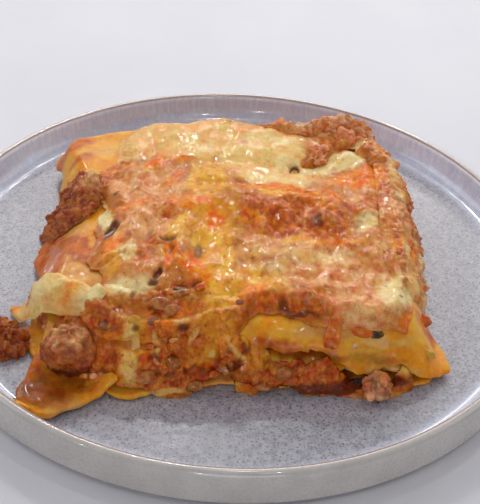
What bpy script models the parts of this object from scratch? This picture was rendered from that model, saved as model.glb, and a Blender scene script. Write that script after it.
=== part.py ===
"""A cut square of baked lasagne on its round stoneware plate.

The slice is a stack of seven things, each its own closed body: three pasta sheets, two mince
layers between them, the baked cheese crust on top, and the clumps of mince, pasta and carrot
that have come loose from it. Every layer is measured from the plate up. A layer has a plan
outline and a thickness that dies away past its outline, so the layer above sinks and drapes
over its edge as the real one does. Origin: middle of the plate's foot, on the table. -Y is the
front of the slice, +Z is up. Metres.
"""

import bpy
import bmesh
import numpy as np

MM = 0.001
GAP = 0.4 * MM  # air left between two bodies that touch

# Plate
RIM_RADIUS = 110.0 * MM
RIM_HEIGHT = 15.0 * MM
LIP_THICKNESS = 4.0 * MM
FLOOR_TOP = 5.0 * MM
COVE_RADIUS = 7.0 * MM  # from the floor up into the wall
COVE_START = RIM_RADIUS - LIP_THICKNESS - COVE_RADIUS
COVE_MARGIN = 1.5 * MM  # food lifts off the floor this much before the cove does
UNDERSIDE = 1.4 * MM
HEEL_RADIUS = 2.2 * MM  # the wall's rounded bottom edge
FOOT_OUTER = 72.0 * MM
FOOT_INNER = 66.0 * MM
RECESS = 0.9 * MM  # glazed recess inside the foot ring
PLATE_SEGMENTS = 48

# The slice as it was cut, in plan
CENTRE = np.array((-2.0, 0.0)) * MM
HALF_WIDTH = 63.0 * MM
HALF_DEPTH = 60.5 * MM
SQUARENESS = 8.0  # exponent of the superellipse: 2 is an ellipse, more is squarer
SEGMENTS = 40
CORNER_CROWDING = 0.09  # how far the points of a ring are drawn towards its four corners
CORE_RINGS = (0.38, 0.62)  # shares of the cut outline where all layers have a ring
EDGE_RINGS = 3  # from the core out to a layer's rounded edge
RING_SPACE = 0.5 * MM  # least room between two rings of one layer

PASTA = 1.8 * MM
LOWER_MINCE = 6.6 * MM
UPPER_MINCE = 7.8 * MM
CRUST = 3.2 * MM

# One row for each layer, bottom to top: thickness, how far it reaches past the cut outline, how
# far it dies away outside its outline and starts to sink inside it, the depth of its rounded
# edge, and its bulges. A bulge is (direction in degrees, amount, half width in degrees).
LAYERS = {
    "pasta_bottom": dict(
        thick=PASTA, reach=3.5 * MM, drop=3.0 * MM, shoulder=0.5 * MM, edge=1.4 * MM,
        bulges=((246, 10.0, 8), (260, 2.0, 5), (307, -5.5, 5), (321, 6.0, 6), (200, 1.5, 12),
                (20, -1.5, 9), (100, 1.5, 14)),
    ),
    "mince_lower": dict(
        thick=LOWER_MINCE, reach=0.8 * MM, drop=9.0 * MM, shoulder=5.0 * MM, edge=2.4 * MM,
        bulges=((247, 6.0, 8), (278, -2.0, 5), (307, -6.0, 6), (323, 2.0, 5), (182, -4.5, 24),
                (40, -3.0, 9), (224, -5.0, 8), (5, 1.5, 6), (142, 8.0, 7)),
    ),
    "pasta_middle": dict(
        thick=PASTA, reach=2.2 * MM, drop=3.0 * MM, shoulder=0.5 * MM, edge=1.4 * MM,
        bulges=((234.5, 28.0, 8.5), (218, -6.0, 5), (256, -1.5, 5), (284, 0.8, 7),
                (307, -5.5, 5), (320, 4.5, 6), (180, -3.0, 20), (15, 1.0, 8), (70, 1.5, 8),
                (142, 4.0, 7)),
    ),
    "mince_upper": dict(
        thick=UPPER_MINCE, reach=-2.0 * MM, drop=10.0 * MM, shoulder=6.0 * MM, edge=2.6 * MM,
        bulges=((250, 1.5, 9), (296, -2.0, 7), (321, -1.0, 8), (182, -8.0, 26), (226, -6.0, 8),
                (142, 6.5, 8), (10, 3.5, 12), (350, 2.5, 8), (28, 2.5, 8), (95, 5.0, 20)),
    ),
    "pasta_top": dict(
        thick=PASTA, reach=0.8 * MM, drop=3.0 * MM, shoulder=0.5 * MM, edge=1.4 * MM,
        bulges=((142, 10.5, 7), (156, 3.0, 4), (183, 5.5, 20), (226, -13.0, 10), (250, -6.0, 10),
                (325, 13.5, 9), (10, -3.0, 14), (42, -6.0, 10), (93, 4.0, 20)),
    ),
    "cheese_crust": dict(
        thick=CRUST, reach=-4.5 * MM, drop=2.0 * MM, shoulder=4.0 * MM, edge=1.6 * MM,
        bulges=((94, 9.5, 19), (120, 2.0, 6), (143, -17.0, 15), (183, -13.5, 18), (206, -11.0, 10),
                (222, -18.0, 8), (250, 4.0, 11), (286, -3.5, 9), (320, 3.0, 6), (350, 2.5, 20),
                (45, -5.0, 9)),
    ),
}

# Humps and hollows of the filling, which everything above it follows: (x, y, height, spread
# along x, spread along y), in millimetres.
SWELLS = (
    (6, 1, 3.4, 40, 10),
    (24, 28, -2.0, 16, 8),
    (-12, 44, 0.8, 22, 12),
    (-20, -34, 1.2, 18, 10),
    (14, -24, 0.6, 14, 8),
    (48, -34, -1.8, 14, 16),
    (-34, 12, -1.0, 10, 16),
    (-12, 56, 1.8, 30, 12),
    (58, -48, 1.5, 14, 12),
    (-28, -56, -5.4, 25, 9), (-62, 54, -4.0, 16, 16),
)
# The same for the crust alone: its curled front lip, the fold behind it and the sunk places.
CRUST_SWELLS = (
    (16, -49, 1.5, 17, 3.0),
    (26, -42, 1.0, 12, 3.5),
    (18, -37, -0.8, 14, 3.0),
    (31, 35, -1.7, 5, 3.2),
    (-30, -38, 0.8, 7, 7),
    (-8, 20, 0.6, 12, 5),
)

# Loose clumps: the level they rest on is named by the layer they lie on top of (None is the
# plate), then plan place, half sizes, turn in degrees, height, how much higher they are at
# their +X end, and how knobbly they are.
CLUMPS = {
    "mince_burnt": dict(on="cheese_crust", at=(-60.5, 9.0), half=(12.0, 13.5), turn=8,
                        high=7.0, lean=0.0, knobs=0.20, seed=3),
    "mince_corner": dict(on="cheese_crust", at=(-50.4, -60.3), half=(10.3, 9.0), turn=8,
                         high=9.0, lean=0.0, knobs=0.14, seed=5),
    "mince_back": dict(on="cheese_crust", at=(37.0, 61.0), half=(21.0, 8.0), turn=2,
                       high=8.0, lean=0.6, knobs=0.20, seed=8),
    "mince_spill": dict(on=None, at=(-77.8, -48.6), half=(10.5, 9.5), turn=-35,
                        high=6.5, lean=0.0, knobs=0.24, seed=11),
    "mince_crumb": dict(on=None, at=(47.5, -65.0), half=(5.0, 4.6), turn=0,
                        high=8.0, lean=0.0, knobs=0.14, seed=13),
}
CLUMP_CLEARANCE = 0.5 * MM  # more air under a clump, which lies on slopes
CLUMP_BRIDGE = 2.7 * MM  # and it lies on the highest place this near
CLUMP_SEGMENTS = 13
CLUMP_RINGS = (0.38, 0.66, 0.87)

# The strip pulled out of the left side: where it leaves the slice, its tip, and its sizes.
TONGUE_ROOT = np.array((-43.2, -49.0)) * MM
TONGUE_TIP = np.array((-75.8, -35.8)) * MM
TONGUE_HALF_WIDTH = 5.8 * MM
TONGUE_THICK = 3.4 * MM
TONGUE_POINTS = 16


def smooth_step(share):
    """0 below 0, 1 above 1, and 3s^2 - 2s^3 between."""
    share = np.clip(share, 0.0, 1.0)
    return share * share * (3.0 - 2.0 * share)


def turn_between(angle, direction):
    """The turn in degrees from a direction to an angle, from -180 to 180."""
    return (np.degrees(angle) - direction + 180.0) % 360.0 - 180.0


def cut_outline(angle):
    """The knife's outline: a superellipse, |x/a|^n + |y/b|^n = 1, as a radius for each angle."""
    across = np.abs(np.cos(angle)) / HALF_WIDTH
    along = np.abs(np.sin(angle)) / HALF_DEPTH
    return (across**SQUARENESS + along**SQUARENESS) ** (-1.0 / SQUARENESS)


def outline(layer, angle):
    """A layer's own outline: the cut, its reach and a bell-shaped bulge in each named direction."""
    radius = cut_outline(angle) + layer["reach"]
    for direction, amount, width in layer["bulges"]:
        radius = radius + amount * MM * np.exp(-((turn_between(angle, direction) / width) ** 2))
    return radius


def polar(x, y):
    """Angle and distance of plan points from the middle of the slice."""
    return np.arctan2(y - CENTRE[1], x - CENTRE[0]), np.hypot(x - CENTRE[0], y - CENTRE[1])


def swell(places, x, y):
    """The sum of round-topped humps exp(-(dx/sx)^2 - (dy/sy)^2), each times its height."""
    total = np.zeros_like(x)
    for at_x, at_y, height, wide, deep in places:
        across, along = (x / MM - at_x) / wide, (y / MM - at_y) / deep
        total = total + height * MM * np.exp(-(across**2) - along**2)
    return total


def thickness(name, x, y):
    """A layer's thickness: full inside, sinking over its shoulder and gone past its drop."""
    layer = LAYERS[name]
    angle, distance = polar(x, y)
    inside = outline(layer, angle) - distance
    run = layer["drop"] + layer["shoulder"]
    full = layer["thick"]
    if name == "mince_upper":
        full = full + swell(SWELLS, x, y)
    if name == "cheese_crust":
        full = full + swell(CRUST_SWELLS, x, y)
    return full * smooth_step((inside + layer["drop"]) / run)


def level(name, x, y):
    """The height of the underside of what lies on this layer; None is the plate itself.

    The plate is flat out to its cove, then rises as a quarter circle.
    """
    into_cove = np.clip(np.hypot(x, y) - COVE_START + COVE_MARGIN, 0.0, 0.95 * COVE_RADIUS)
    height = FLOOR_TOP + GAP + COVE_RADIUS - np.sqrt(COVE_RADIUS**2 - into_cove**2)
    if name is None:
        return height
    for each in LAYERS:
        height = height + thickness(each, x, y) + GAP
        if each == name:
            return height
    raise KeyError(name)


def rest_level(x, y):
    """The level of the whole slice, taken as the highest of nine places close together."""
    nearby = [level("cheese_crust", x + CLUMP_BRIDGE * across, y + CLUMP_BRIDGE * along)
              for across in (-1, 0, 1) for along in (-1, 0, 1)]
    return np.max(nearby, axis=0) + CLUMP_CLEARANCE


def material(name, colour, roughness):
    """A Principled material of one colour (linear), non-metallic."""
    made = bpy.data.materials.new(name)
    made.use_nodes = True
    shader = made.node_tree.nodes["Principled BSDF"]
    shader.inputs["Base Color"].default_value = (*colour, 1.0)
    shader.inputs["Roughness"].default_value = roughness
    shader.inputs["Metallic"].default_value = 0.0
    made.diffuse_color = (*colour, 1.0)
    return made


def add_object(name, mesh, colour, roughness):
    """Links a mesh as an object with its own material."""
    mesh.materials.append(material(name, colour, roughness))
    made = bpy.data.objects.new(name, mesh)
    bpy.context.collection.objects.link(made)
    return made


def closed_shell(name, low, high):
    """A closed body from two stacks of rings, each listed from its middle point outwards.

    low and high are (rings, points, 3) and end on the same nose ring. Both sides are split
    along the same diagonals, so that a layer's top and the next one's underside stay parallel.
    """
    count = low.shape[1]
    low_inner, nose, high_inner = low[:-1], low[-1], high[:-1]
    points = [low[0].mean(axis=0)[None], low_inner.reshape(-1, 3), nose,
              high_inner.reshape(-1, 3), high[0].mean(axis=0)[None]]
    starts = np.cumsum([0] + [len(part) for part in points])
    step = np.arange(count)
    after = (step + 1) % count

    def side(pole, first, rings, outward):
        bases = [first + ring * count for ring in range(rings)] + [starts[2]]
        faces = [np.stack([np.full(count, pole), bases[0] + step, bases[0] + after], axis=1)]
        for inner, outer in zip(bases[:-1], bases[1:]):
            faces.append(np.stack([inner + step, outer + step, outer + after], axis=1))
            faces.append(np.stack([inner + step, outer + after, inner + after], axis=1))
        faces = np.concatenate(faces)
        return faces if outward else faces[:, ::-1]

    faces = np.concatenate([
        side(starts[0], starts[1], len(low_inner), False),
        side(starts[4], starts[3], len(high_inner), True),
    ])
    mesh = bpy.data.meshes.new(name)
    mesh.from_pydata(np.concatenate(points).tolist(), [], faces.tolist())
    mesh.shade_smooth()
    mesh.set_sharp_from_angle(angle=np.radians(50))
    return mesh


def ring_angles():
    """Even angles, drawn towards the four corners by a sine of four waves a turn."""
    even = np.arange(SEGMENTS) * 2.0 * np.pi / SEGMENTS
    return even + CORNER_CROWDING * np.sin(4.0 * even)


def top_radii(name, angle):
    """Rings of a layer's upper side: the shared core, then even steps out to its edge."""
    core = [share * cut_outline(angle) for share in CORE_RINGS]
    room = outline(LAYERS[name], angle) - LAYERS[name]["edge"] - core[-1]
    return core + [core[-1] + room * step / EDGE_RINGS for step in range(1, EDGE_RINGS + 1)]


def low_radii(name, under, angle):
    """Rings of its underside: those of the layer it lies on, as far as it reaches itself."""
    own = outline(LAYERS[name], angle) - LAYERS[name]["edge"]
    if under is None:
        return [CORE_RINGS[-1] * cut_outline(angle), own]
    shared = top_radii(under, angle)
    kept = [np.minimum(radius, own - RING_SPACE * (len(shared) - place))
            for place, radius in enumerate(shared)]
    return kept + [0.5 * (kept[-1] + own), own]


def layer_mesh(name, under, extra_rings=0):
    """One layer: rings out to its rounded edge on both sides, then the nose between them."""
    angle = ring_angles()
    out, edge = outline(LAYERS[name], angle), LAYERS[name]["edge"]

    def ring(radius, share):
        x = CENTRE[0] + radius * np.cos(angle)
        y = CENTRE[1] + radius * np.sin(angle)
        return np.stack([x, y, level(under, x, y) + share * thickness(name, x, y)], axis=1)

    tops = top_radii(name, angle)
    for _ in range(extra_rings):
        gaps = [np.max(outer - inner) for inner, outer in zip(tops[:-1], tops[1:])]
        widest = int(np.argmax(gaps))
        tops.insert(widest + 1, 0.5 * (tops[widest] + tops[widest + 1]))
    low = [ring(radius, 0.0) for radius in low_radii(name, under, angle)]
    high = [ring(radius, 1.0) for radius in tops]
    low.append(ring(out - 0.35 * edge, 0.2))
    high.append(ring(out - 0.35 * edge, 0.8))
    nose = ring(out, 0.5)
    return closed_shell(name, np.array(low + [nose]), np.array(high + [nose]))


def knobs(seed, angle, share):
    """Uneven knobs: a few sine waves round and out of a clump, of seeded phase."""
    rng = np.random.default_rng(seed)
    total = np.zeros_like(angle)
    for waves in (2, 3, 5, 7):
        turn, depth = rng.uniform(0, 2 * np.pi, 2)
        total = total + np.sin(waves * angle + turn) * np.cos(waves * share + depth) / waves**0.5
    return total


def clump_mesh(name):
    """A dome, height (1 - share^2.2)^0.6, over whatever it rests on, with knobs all over it."""
    clump = CLUMPS[name]
    angle = np.arange(CLUMP_SEGMENTS) * 2.0 * np.pi / CLUMP_SEGMENTS
    turn = np.radians(clump["turn"])
    rough = clump["knobs"]

    def ring(share, lift):
        around = 1.0 + 0.6 * rough * knobs(clump["seed"], angle, 1.0)
        wide = clump["half"][0] * MM * share * around * np.cos(angle)
        deep = clump["half"][1] * MM * share * around * np.sin(angle)
        x = clump["at"][0] * MM + wide * np.cos(turn) - deep * np.sin(turn)
        y = clump["at"][1] * MM + wide * np.sin(turn) + deep * np.cos(turn)
        dome = (1.0 - share**2.2) ** 0.6 * (1.0 + rough * knobs(clump["seed"], angle, 3 * share))
        lean = 1.0 + clump["lean"] * share * np.cos(angle)
        tall = np.maximum(clump["high"] * MM * dome * lean, 1.2 * MM)
        base = rest_level(x, y) if clump["on"] else level(None, x, y)
        return np.stack([x, y, base + lift * tall], axis=1)

    low = [ring(share, 0.0) for share in CLUMP_RINGS]
    high = [ring(share, 1.0) for share in CLUMP_RINGS]
    low.append(ring(0.97, 0.15))
    high.append(ring(0.97, 0.85))
    nose = ring(1.0, 0.5)
    return closed_shell(name, np.array(low + [nose]), np.array(high + [nose]))


def plate_mesh():
    """The plate's half section, spun once round: floor, cove, wall, round lip, heel and foot."""
    lip = LIP_THICKNESS / 2.0
    quarter = np.linspace(0.0, np.pi / 2.0, 3)
    half = np.linspace(np.pi, 0.0, 5)
    section = [(0.0, FLOOR_TOP), (0.55 * COVE_START, FLOOR_TOP)]
    section += [(COVE_START + COVE_RADIUS * np.sin(a), FLOOR_TOP + COVE_RADIUS * (1 - np.cos(a)))
                for a in quarter]
    section += [(RIM_RADIUS - lip + lip * np.cos(a), RIM_HEIGHT - lip + lip * np.sin(a))
                for a in half]
    heel_x, heel_z = RIM_RADIUS - HEEL_RADIUS, UNDERSIDE + HEEL_RADIUS
    section += [(heel_x + HEEL_RADIUS * np.cos(a), heel_z - HEEL_RADIUS * np.sin(a))
                for a in quarter]
    section += [(FOOT_OUTER + 1.0 * MM, UNDERSIDE), (FOOT_OUTER, 0.0), (FOOT_INNER, 0.0),
                (FOOT_INNER - 1.0 * MM, RECESS), (0.0, RECESS)]
    builder = bmesh.new()
    corners = [builder.verts.new((x, 0.0, z)) for x, z in section]
    edges = [builder.edges.new(pair) for pair in zip(corners[:-1], corners[1:])]
    bmesh.ops.spin(builder, geom=corners + edges, cent=(0, 0, 0), axis=(0, 0, 1),
                   angle=2.0 * np.pi, steps=PLATE_SEGMENTS)
    bmesh.ops.remove_doubles(builder, verts=builder.verts, dist=0.01 * MM)
    bmesh.ops.recalc_face_normals(builder, faces=builder.faces)
    mesh = bpy.data.meshes.new("plate")
    builder.to_mesh(mesh)
    builder.free()
    mesh.shade_smooth()
    mesh.set_sharp_from_angle(angle=np.radians(40))
    return mesh


def tongue_mesh():
    """A strip of pasta and cheese pulled out of the left side and lying down to the plate."""
    angle = np.arange(TONGUE_POINTS) * 2.0 * np.pi / TONGUE_POINTS
    way = TONGUE_TIP - TONGUE_ROOT
    length = np.hypot(*way)
    way = way / length
    side = np.array((-way[1], way[0]))

    def ring(share, lift):
        along = 0.5 * length * (1.0 + share * np.cos(angle))
        taper = 1.0 - 0.45 * smooth_step(along / length)
        wide = TONGUE_HALF_WIDTH * taper * share
        across = wide * np.sign(np.sin(angle)) * np.abs(np.sin(angle)) ** 0.8
        x = TONGUE_ROOT[0] + way[0] * along + side[0] * across
        y = TONGUE_ROOT[1] + way[1] * along + side[1] * across
        thick = TONGUE_THICK * (1.0 - 0.3 * share**2)
        return np.stack([x, y, rest_level(x, y) + lift * thick], axis=1)

    low = [ring(share, 0.0) for share in (0.4, 0.75, 0.93)]
    high = [ring(share, 1.0) for share in (0.4, 0.75, 0.93)]
    nose = ring(1.0, 0.5)
    return closed_shell("pasta_tongue", np.array(low + [nose]), np.array(high + [nose]))


GLAZE = (0.30, 0.31, 0.35)
PASTA_YELLOW = (0.72, 0.44, 0.14)
MINCE_BROWN = (0.30, 0.10, 0.035)
CRUST_CREAM = (0.78, 0.46, 0.20)
BURNT = (0.10, 0.03, 0.015)

for old in list(bpy.data.objects):
    bpy.data.objects.remove(old, do_unlink=True)

add_object("plate", plate_mesh(), GLAZE, 0.3)
below = None
for layer_name in LAYERS:
    colour = PASTA_YELLOW if layer_name.startswith("pasta") else MINCE_BROWN
    if layer_name == "cheese_crust":
        add_object(layer_name, layer_mesh(layer_name, below, 2), CRUST_CREAM, 0.45)
    else:
        extra = 1 if layer_name == "pasta_middle" else 0
        add_object(layer_name, layer_mesh(layer_name, below, extra), colour, 0.4)
    below = layer_name
add_object("pasta_tongue", tongue_mesh(), PASTA_YELLOW, 0.4)
for clump_name in CLUMPS:
    add_object(clump_name, clump_mesh(clump_name),
               BURNT if clump_name == "mince_burnt" else MINCE_BROWN, 0.55)
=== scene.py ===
"""A cut square of baked lasagne on its round stoneware plate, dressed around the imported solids."""

import math

import bpy
import numpy as np
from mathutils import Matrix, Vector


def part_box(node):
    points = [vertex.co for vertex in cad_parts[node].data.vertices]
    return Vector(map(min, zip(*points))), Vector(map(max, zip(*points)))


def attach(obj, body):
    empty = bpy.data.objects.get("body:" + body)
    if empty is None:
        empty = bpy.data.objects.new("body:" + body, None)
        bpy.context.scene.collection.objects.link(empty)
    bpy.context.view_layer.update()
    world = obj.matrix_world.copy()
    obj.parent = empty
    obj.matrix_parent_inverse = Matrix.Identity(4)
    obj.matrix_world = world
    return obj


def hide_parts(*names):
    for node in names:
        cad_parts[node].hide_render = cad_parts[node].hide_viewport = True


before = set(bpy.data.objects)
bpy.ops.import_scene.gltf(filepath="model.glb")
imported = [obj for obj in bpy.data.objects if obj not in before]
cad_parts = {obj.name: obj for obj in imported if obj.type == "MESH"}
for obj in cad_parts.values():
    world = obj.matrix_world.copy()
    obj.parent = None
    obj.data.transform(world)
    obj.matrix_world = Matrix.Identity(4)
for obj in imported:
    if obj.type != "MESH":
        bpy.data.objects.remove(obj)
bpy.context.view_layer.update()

# ----------------------------------------------
# Table, light and camera. The table is a plain pale sheet that curves up far behind. A broad
# window, a strip lamp and soft boxes left, right and in front light it in a dim pale room; small
# lamps put the glints on what is wet. The camera looks down on the front cut side.
# ----------------------------------------------
MM = 0.001
RIM_CENTRE_HEIGHT = 15.0  # the rim's plane, which the camera's distance is measured from
CAMERA_DISTANCE = 416.33
CAMERA_ELEVATION = math.radians(37.07)
CAMERA_PITCH = math.radians(37.484)
CAMERA_YAW = math.radians(0.2544)
CAMERA_ROLL = math.radians(3.076)
CAMERA_LENS = 82.14
TABLE_HALF_WIDTH = 3.0  # the table and the lamps are in metres
TABLE_NEAR = -2.5
TABLE_BEND_START = 1.0
TABLE_BEND = 0.9
TABLE_TOP = 2.6
ROOM_STRENGTH = 0.19


def colour(code):
    """A hex sRGB colour as linear red, green, blue and 1: (c/12.92) or ((c+0.055)/1.055)^2.4."""
    parts = [int(code[place:place + 2], 16) / 255.0 for place in (1, 3, 5)]
    linear = [part / 12.92 if part < 0.04045 else ((part + 0.055) / 1.055) ** 2.4 for part in parts]
    return (*linear, 1.0)


def add_node(material, kind, *links, out=0, **settings):
    """Adds a node with its settings; each link is (input, number, colour or other output)."""
    node = material.node_tree.nodes.new(kind)
    for key, value in settings.items():
        setattr(node, key, value)
    for name, value in links:
        if isinstance(value, bpy.types.NodeSocket):
            material.node_tree.links.new(value, node.inputs[name])
        else:
            node.inputs[name].default_value = value
    return node.outputs[out]


def new_material(name, **sockets):
    """A Principled material; the named numbers are set straight on its sockets."""
    material = bpy.data.materials.new(name)
    material.use_nodes = True
    shader = material.node_tree.nodes["Principled BSDF"]
    for key, value in sockets.items():
        shader.inputs[key.replace("_", " ")].default_value = value
    return material


def finish_with(material, **links):
    """Joins outputs to the shader's Base Color, Roughness and Normal."""
    shader = material.node_tree.nodes["Principled BSDF"]
    for key, value in links.items():
        material.node_tree.links.new(value, shader.inputs[key.replace("_", " ")])


def mixed(material, share, first, second, blend="MIX"):
    """first where share is 0 and second, or first blended with it, where share is 1."""
    return add_node(material, "ShaderNodeMix", ("Factor", share), (6, first), (7, second),
                    out=2, data_type="RGBA", blend_type=blend)


def ramped(material, value, low, high, to_low=0.0, to_high=1.0):
    """A value carried smoothly from low..high to to_low..to_high, and held outside."""
    return add_node(material, "ShaderNodeMapRange", ("Value", value), ("From Min", low),
                    ("From Max", high), ("To Min", to_low), ("To Max", to_high),
                    interpolation_type="SMOOTHSTEP")


def grain(material, where, size, detail=2.0, rough=0.5, seed=0.0):
    """Noise, 0 to 1, whose patches are about `size` millimetres across."""
    return add_node(material, "ShaderNodeTexNoise", ("Vector", where), ("W", seed),
                    ("Scale", 1.0 / (size * MM)), ("Detail", detail), ("Roughness", rough),
                    noise_dimensions="4D")


def object_place(material):
    """The point in the object's own coordinates, which are the plate's, in metres."""
    return add_node(material, "ShaderNodeTexCoord", out=3)


def put_in_scene(name, data):
    """An object that holds a mesh, a lamp or a camera, linked into the scene."""
    made = bpy.data.objects.new(name, data)
    bpy.context.scene.collection.objects.link(made)
    return made


def table_sheet():
    """Rows across x, and along y flat, then a quarter circle up behind, then straight up."""
    across = (-TABLE_HALF_WIDTH, TABLE_HALF_WIDTH)
    turn = np.linspace(0.0, np.pi / 2.0, 24)
    along = np.concatenate([[TABLE_NEAR, TABLE_BEND_START - 0.2],
                            TABLE_BEND_START + TABLE_BEND * np.sin(turn),
                            [TABLE_BEND_START + TABLE_BEND]])
    up = np.concatenate([[0.0, 0.0], TABLE_BEND - TABLE_BEND * np.cos(turn), [TABLE_TOP]])
    points = [(x, y, z) for y, z in zip(along, up) for x in across]
    faces = [(2 * row, 2 * row + 1, 2 * row + 3, 2 * row + 2) for row in range(len(along) - 1)]
    mesh = bpy.data.meshes.new("table")
    mesh.from_pydata(points, [], faces)
    mesh.shade_smooth()
    return put_in_scene("table", mesh)


table = table_sheet()
paper = new_material("matt_white_table_top", Roughness=0.55, IOR=1.45)
paper_cloud = ramped(paper, grain(paper, object_place(paper), 60.0), 0.3, 0.7)
finish_with(paper, Base_Color=mixed(paper, paper_cloud, colour("#e2e1e8"), colour("#e6e5eb")))
table.data.materials.append(paper)


# Each lamp's name, place, width, depth, watts and tint; all of them aim at the plate's middle.
LAMPS = (
    ("window_behind", (0.1, 1.5, 0.8), 2.6, 1.2, 13.0, "#fffefb"),
    ("lamp_in_window_0", (-0.75, 1.25, 0.75), 0.1, 0.08, 1.05, "#fffefb"),
    ("lamp_in_window_1", (-0.2, 1.4, 1.15), 0.1, 0.08, 1.05, "#fffefb"),
    ("lamp_in_window_2", (0.3, 1.3, 0.6), 0.1, 0.08, 1.05, "#fffefb"),
    ("lamp_in_window_3", (0.9, 1.2, 1.0), 0.1, 0.08, 1.05, "#fffefb"),
    ("strip_lamp_behind", (0.03, 1.2, 0.75), 0.2, 0.3, 1.1, "#ffffff"),
    ("soft_box_left", (-1.0, 0.3, 0.7), 0.8, 0.8, 3.8, "#fbfcff"),
    ("soft_box_right", (1.0, 0.3, 0.7), 0.8, 0.8, 2.6, "#fffdf8"),
    ("small_lamp_above", (0.03, 0.12, 0.62), 0.04, 0.03, 0.24, "#ffffff"),
    ("small_lamp_behind", (-0.05, 0.45, 0.5), 0.04, 0.03, 0.35, "#ffffff"),
    ("soft_box_front", (0.1, -1.2, 0.35), 0.6, 0.4, 2.2, "#fcfcff"),
    ("small_lamp_front", (0.15, -0.35, 0.75), 0.04, 0.03, 0.28, "#ffffff"),
    ("small_lamp_low", (-0.1, -0.8, 0.5), 0.05, 0.04, 0.35, "#ffffff"),
    ("small_lamp_left", (-0.45, -0.4, 0.5), 0.04, 0.03, 0.25, "#ffffff"),
)


def add_lamp(name, place, width, depth, watts, tint):
    """A rectangular lamp, turned from its place towards the plate's middle."""
    lamp = bpy.data.lights.new(name, "AREA")
    lamp.shape = "RECTANGLE"
    lamp.size, lamp.size_y = width, depth
    lamp.energy = watts
    lamp.color = colour(tint)[:3]
    made = put_in_scene(name, lamp)
    made.location = place
    x, y, z = place
    made.rotation_euler = (math.atan2(math.hypot(x, y), z), 0.0, math.atan2(x, -y))


for lamp_row in LAMPS:
    add_lamp(*lamp_row)

world = bpy.data.worlds.new("pale_room")
world.use_nodes = True
world.node_tree.nodes["Background"].inputs["Color"].default_value = colour("#f0f1f8")
world.node_tree.nodes["Background"].inputs["Strength"].default_value = ROOM_STRENGTH
bpy.context.scene.world = world
bpy.context.scene.view_settings.view_transform = "Standard"


def add_camera():
    """Turns forward, right and up by pitch, yaw and roll, and stands back from the rim's middle."""
    pitch, yaw, roll = CAMERA_PITCH, CAMERA_YAW, CAMERA_ROLL
    forward = np.array((math.sin(yaw) * math.cos(pitch), math.cos(yaw) * math.cos(pitch),
                        -math.sin(pitch)))
    level_right = np.array((math.cos(yaw), -math.sin(yaw), 0.0))
    level_up = np.cross(level_right, forward)
    right = math.cos(roll) * level_right + math.sin(roll) * level_up
    up = np.cross(right, forward)
    stand = CAMERA_DISTANCE * MM
    place = (0.0, -stand * math.cos(CAMERA_ELEVATION),
             RIM_CENTRE_HEIGHT * MM + stand * math.sin(CAMERA_ELEVATION))
    lens = bpy.data.cameras.new("camera")
    lens.lens = CAMERA_LENS
    lens.clip_start = 0.01
    made = put_in_scene("camera", lens)
    made.matrix_world = np.array([(*axes, at) for axes, at in
                                  zip(np.stack([right, up, -forward]).T, place)]
                                 + [(0.0, 0.0, 0.0, 1.0)]).T.tolist()
    bpy.context.scene.camera = made


add_camera()

# ----------------------------------------------
# The plate: a round stoneware coupe plate, thrown and fired, with an upright wall and a foot
# ring. It is one turned section, and its glaze is a speckled grey-blue that runs mauve down the
# wall inside and breaks brown on the lip; outside it is off-white. The inner wall and the band
# below the lip are lighter and bluer than the floor, partly glaze runs and partly painted light.
# ----------------------------------------------
plate_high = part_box("plate")[1]
RIM_RADIUS = plate_high.x / MM
RIM_HEIGHT = plate_high.z / MM
LIP = 2.0  # the round lip's radius
FLOOR = 5.0
COVE_RADIUS = 7.0
COVE_START = RIM_RADIUS - 2.0 * LIP - COVE_RADIUS
UNDERSIDE = 1.4
HEEL_RADIUS = 2.2
FOOT_OUTER = 72.0
FOOT_INNER = 66.0
RECESS = 0.9


def cell_numbers(cell, seed):
    """Three even random numbers for each whole-numbered cell, by mixing with large primes."""
    cell = cell.astype(np.uint64)
    mixed_up = (cell[..., 0] * np.uint64(73856093)) ^ (cell[..., 1] * np.uint64(19349663))
    mixed_up = mixed_up ^ (cell[..., 2] * np.uint64(83492791)) ^ np.uint64(seed * 7919 + 17)
    mask = np.uint64(0xFFFFFFFF)
    numbers = []
    for _ in range(3):
        mixed_up = ((mixed_up ^ (mixed_up >> np.uint64(15))) * np.uint64(2246822519)) & mask
        mixed_up = ((mixed_up ^ (mixed_up >> np.uint64(13))) * np.uint64(3266489917)) & mask
        mixed_up = mixed_up ^ (mixed_up >> np.uint64(16))
        numbers.append(mixed_up / 4294967295.0)
    return np.stack(numbers, axis=-1)


def hills(points, size, seed=0):
    """Gradient noise, about -1 to 1, with hills `size` apart.

    Every corner of a cube of that size has a slope in a random direction, and the eight slopes
    are blended by the curve 6t^5 - 15t^4 + 10t^3.
    """
    place = points / size + 1000.0
    corner = np.floor(place)
    inside = place - corner
    fade = inside**3 * (inside * (inside * 6.0 - 15.0) + 10.0)
    total = np.zeros(points.shape[:-1])
    for step in np.ndindex(2, 2, 2):
        slope = cell_numbers(corner + step, seed) * 2.0 - 1.0
        slope = slope / (np.linalg.norm(slope, axis=-1, keepdims=True) + 1e-9)
        share = np.prod(np.where(np.array(step) == 1, fade, 1.0 - fade), axis=-1)
        total = total + share * np.sum(slope * (inside - step), axis=-1)
    return 1.7 * total


def rough(points, size, seed=0, octaves=3, keep=0.5):
    """Hills on hills: each octave is half the size of the one before and `keep` as high."""
    return sum(keep**octave * hills(points, size / 2**octave, seed + octave)
               for octave in range(octaves))


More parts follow.
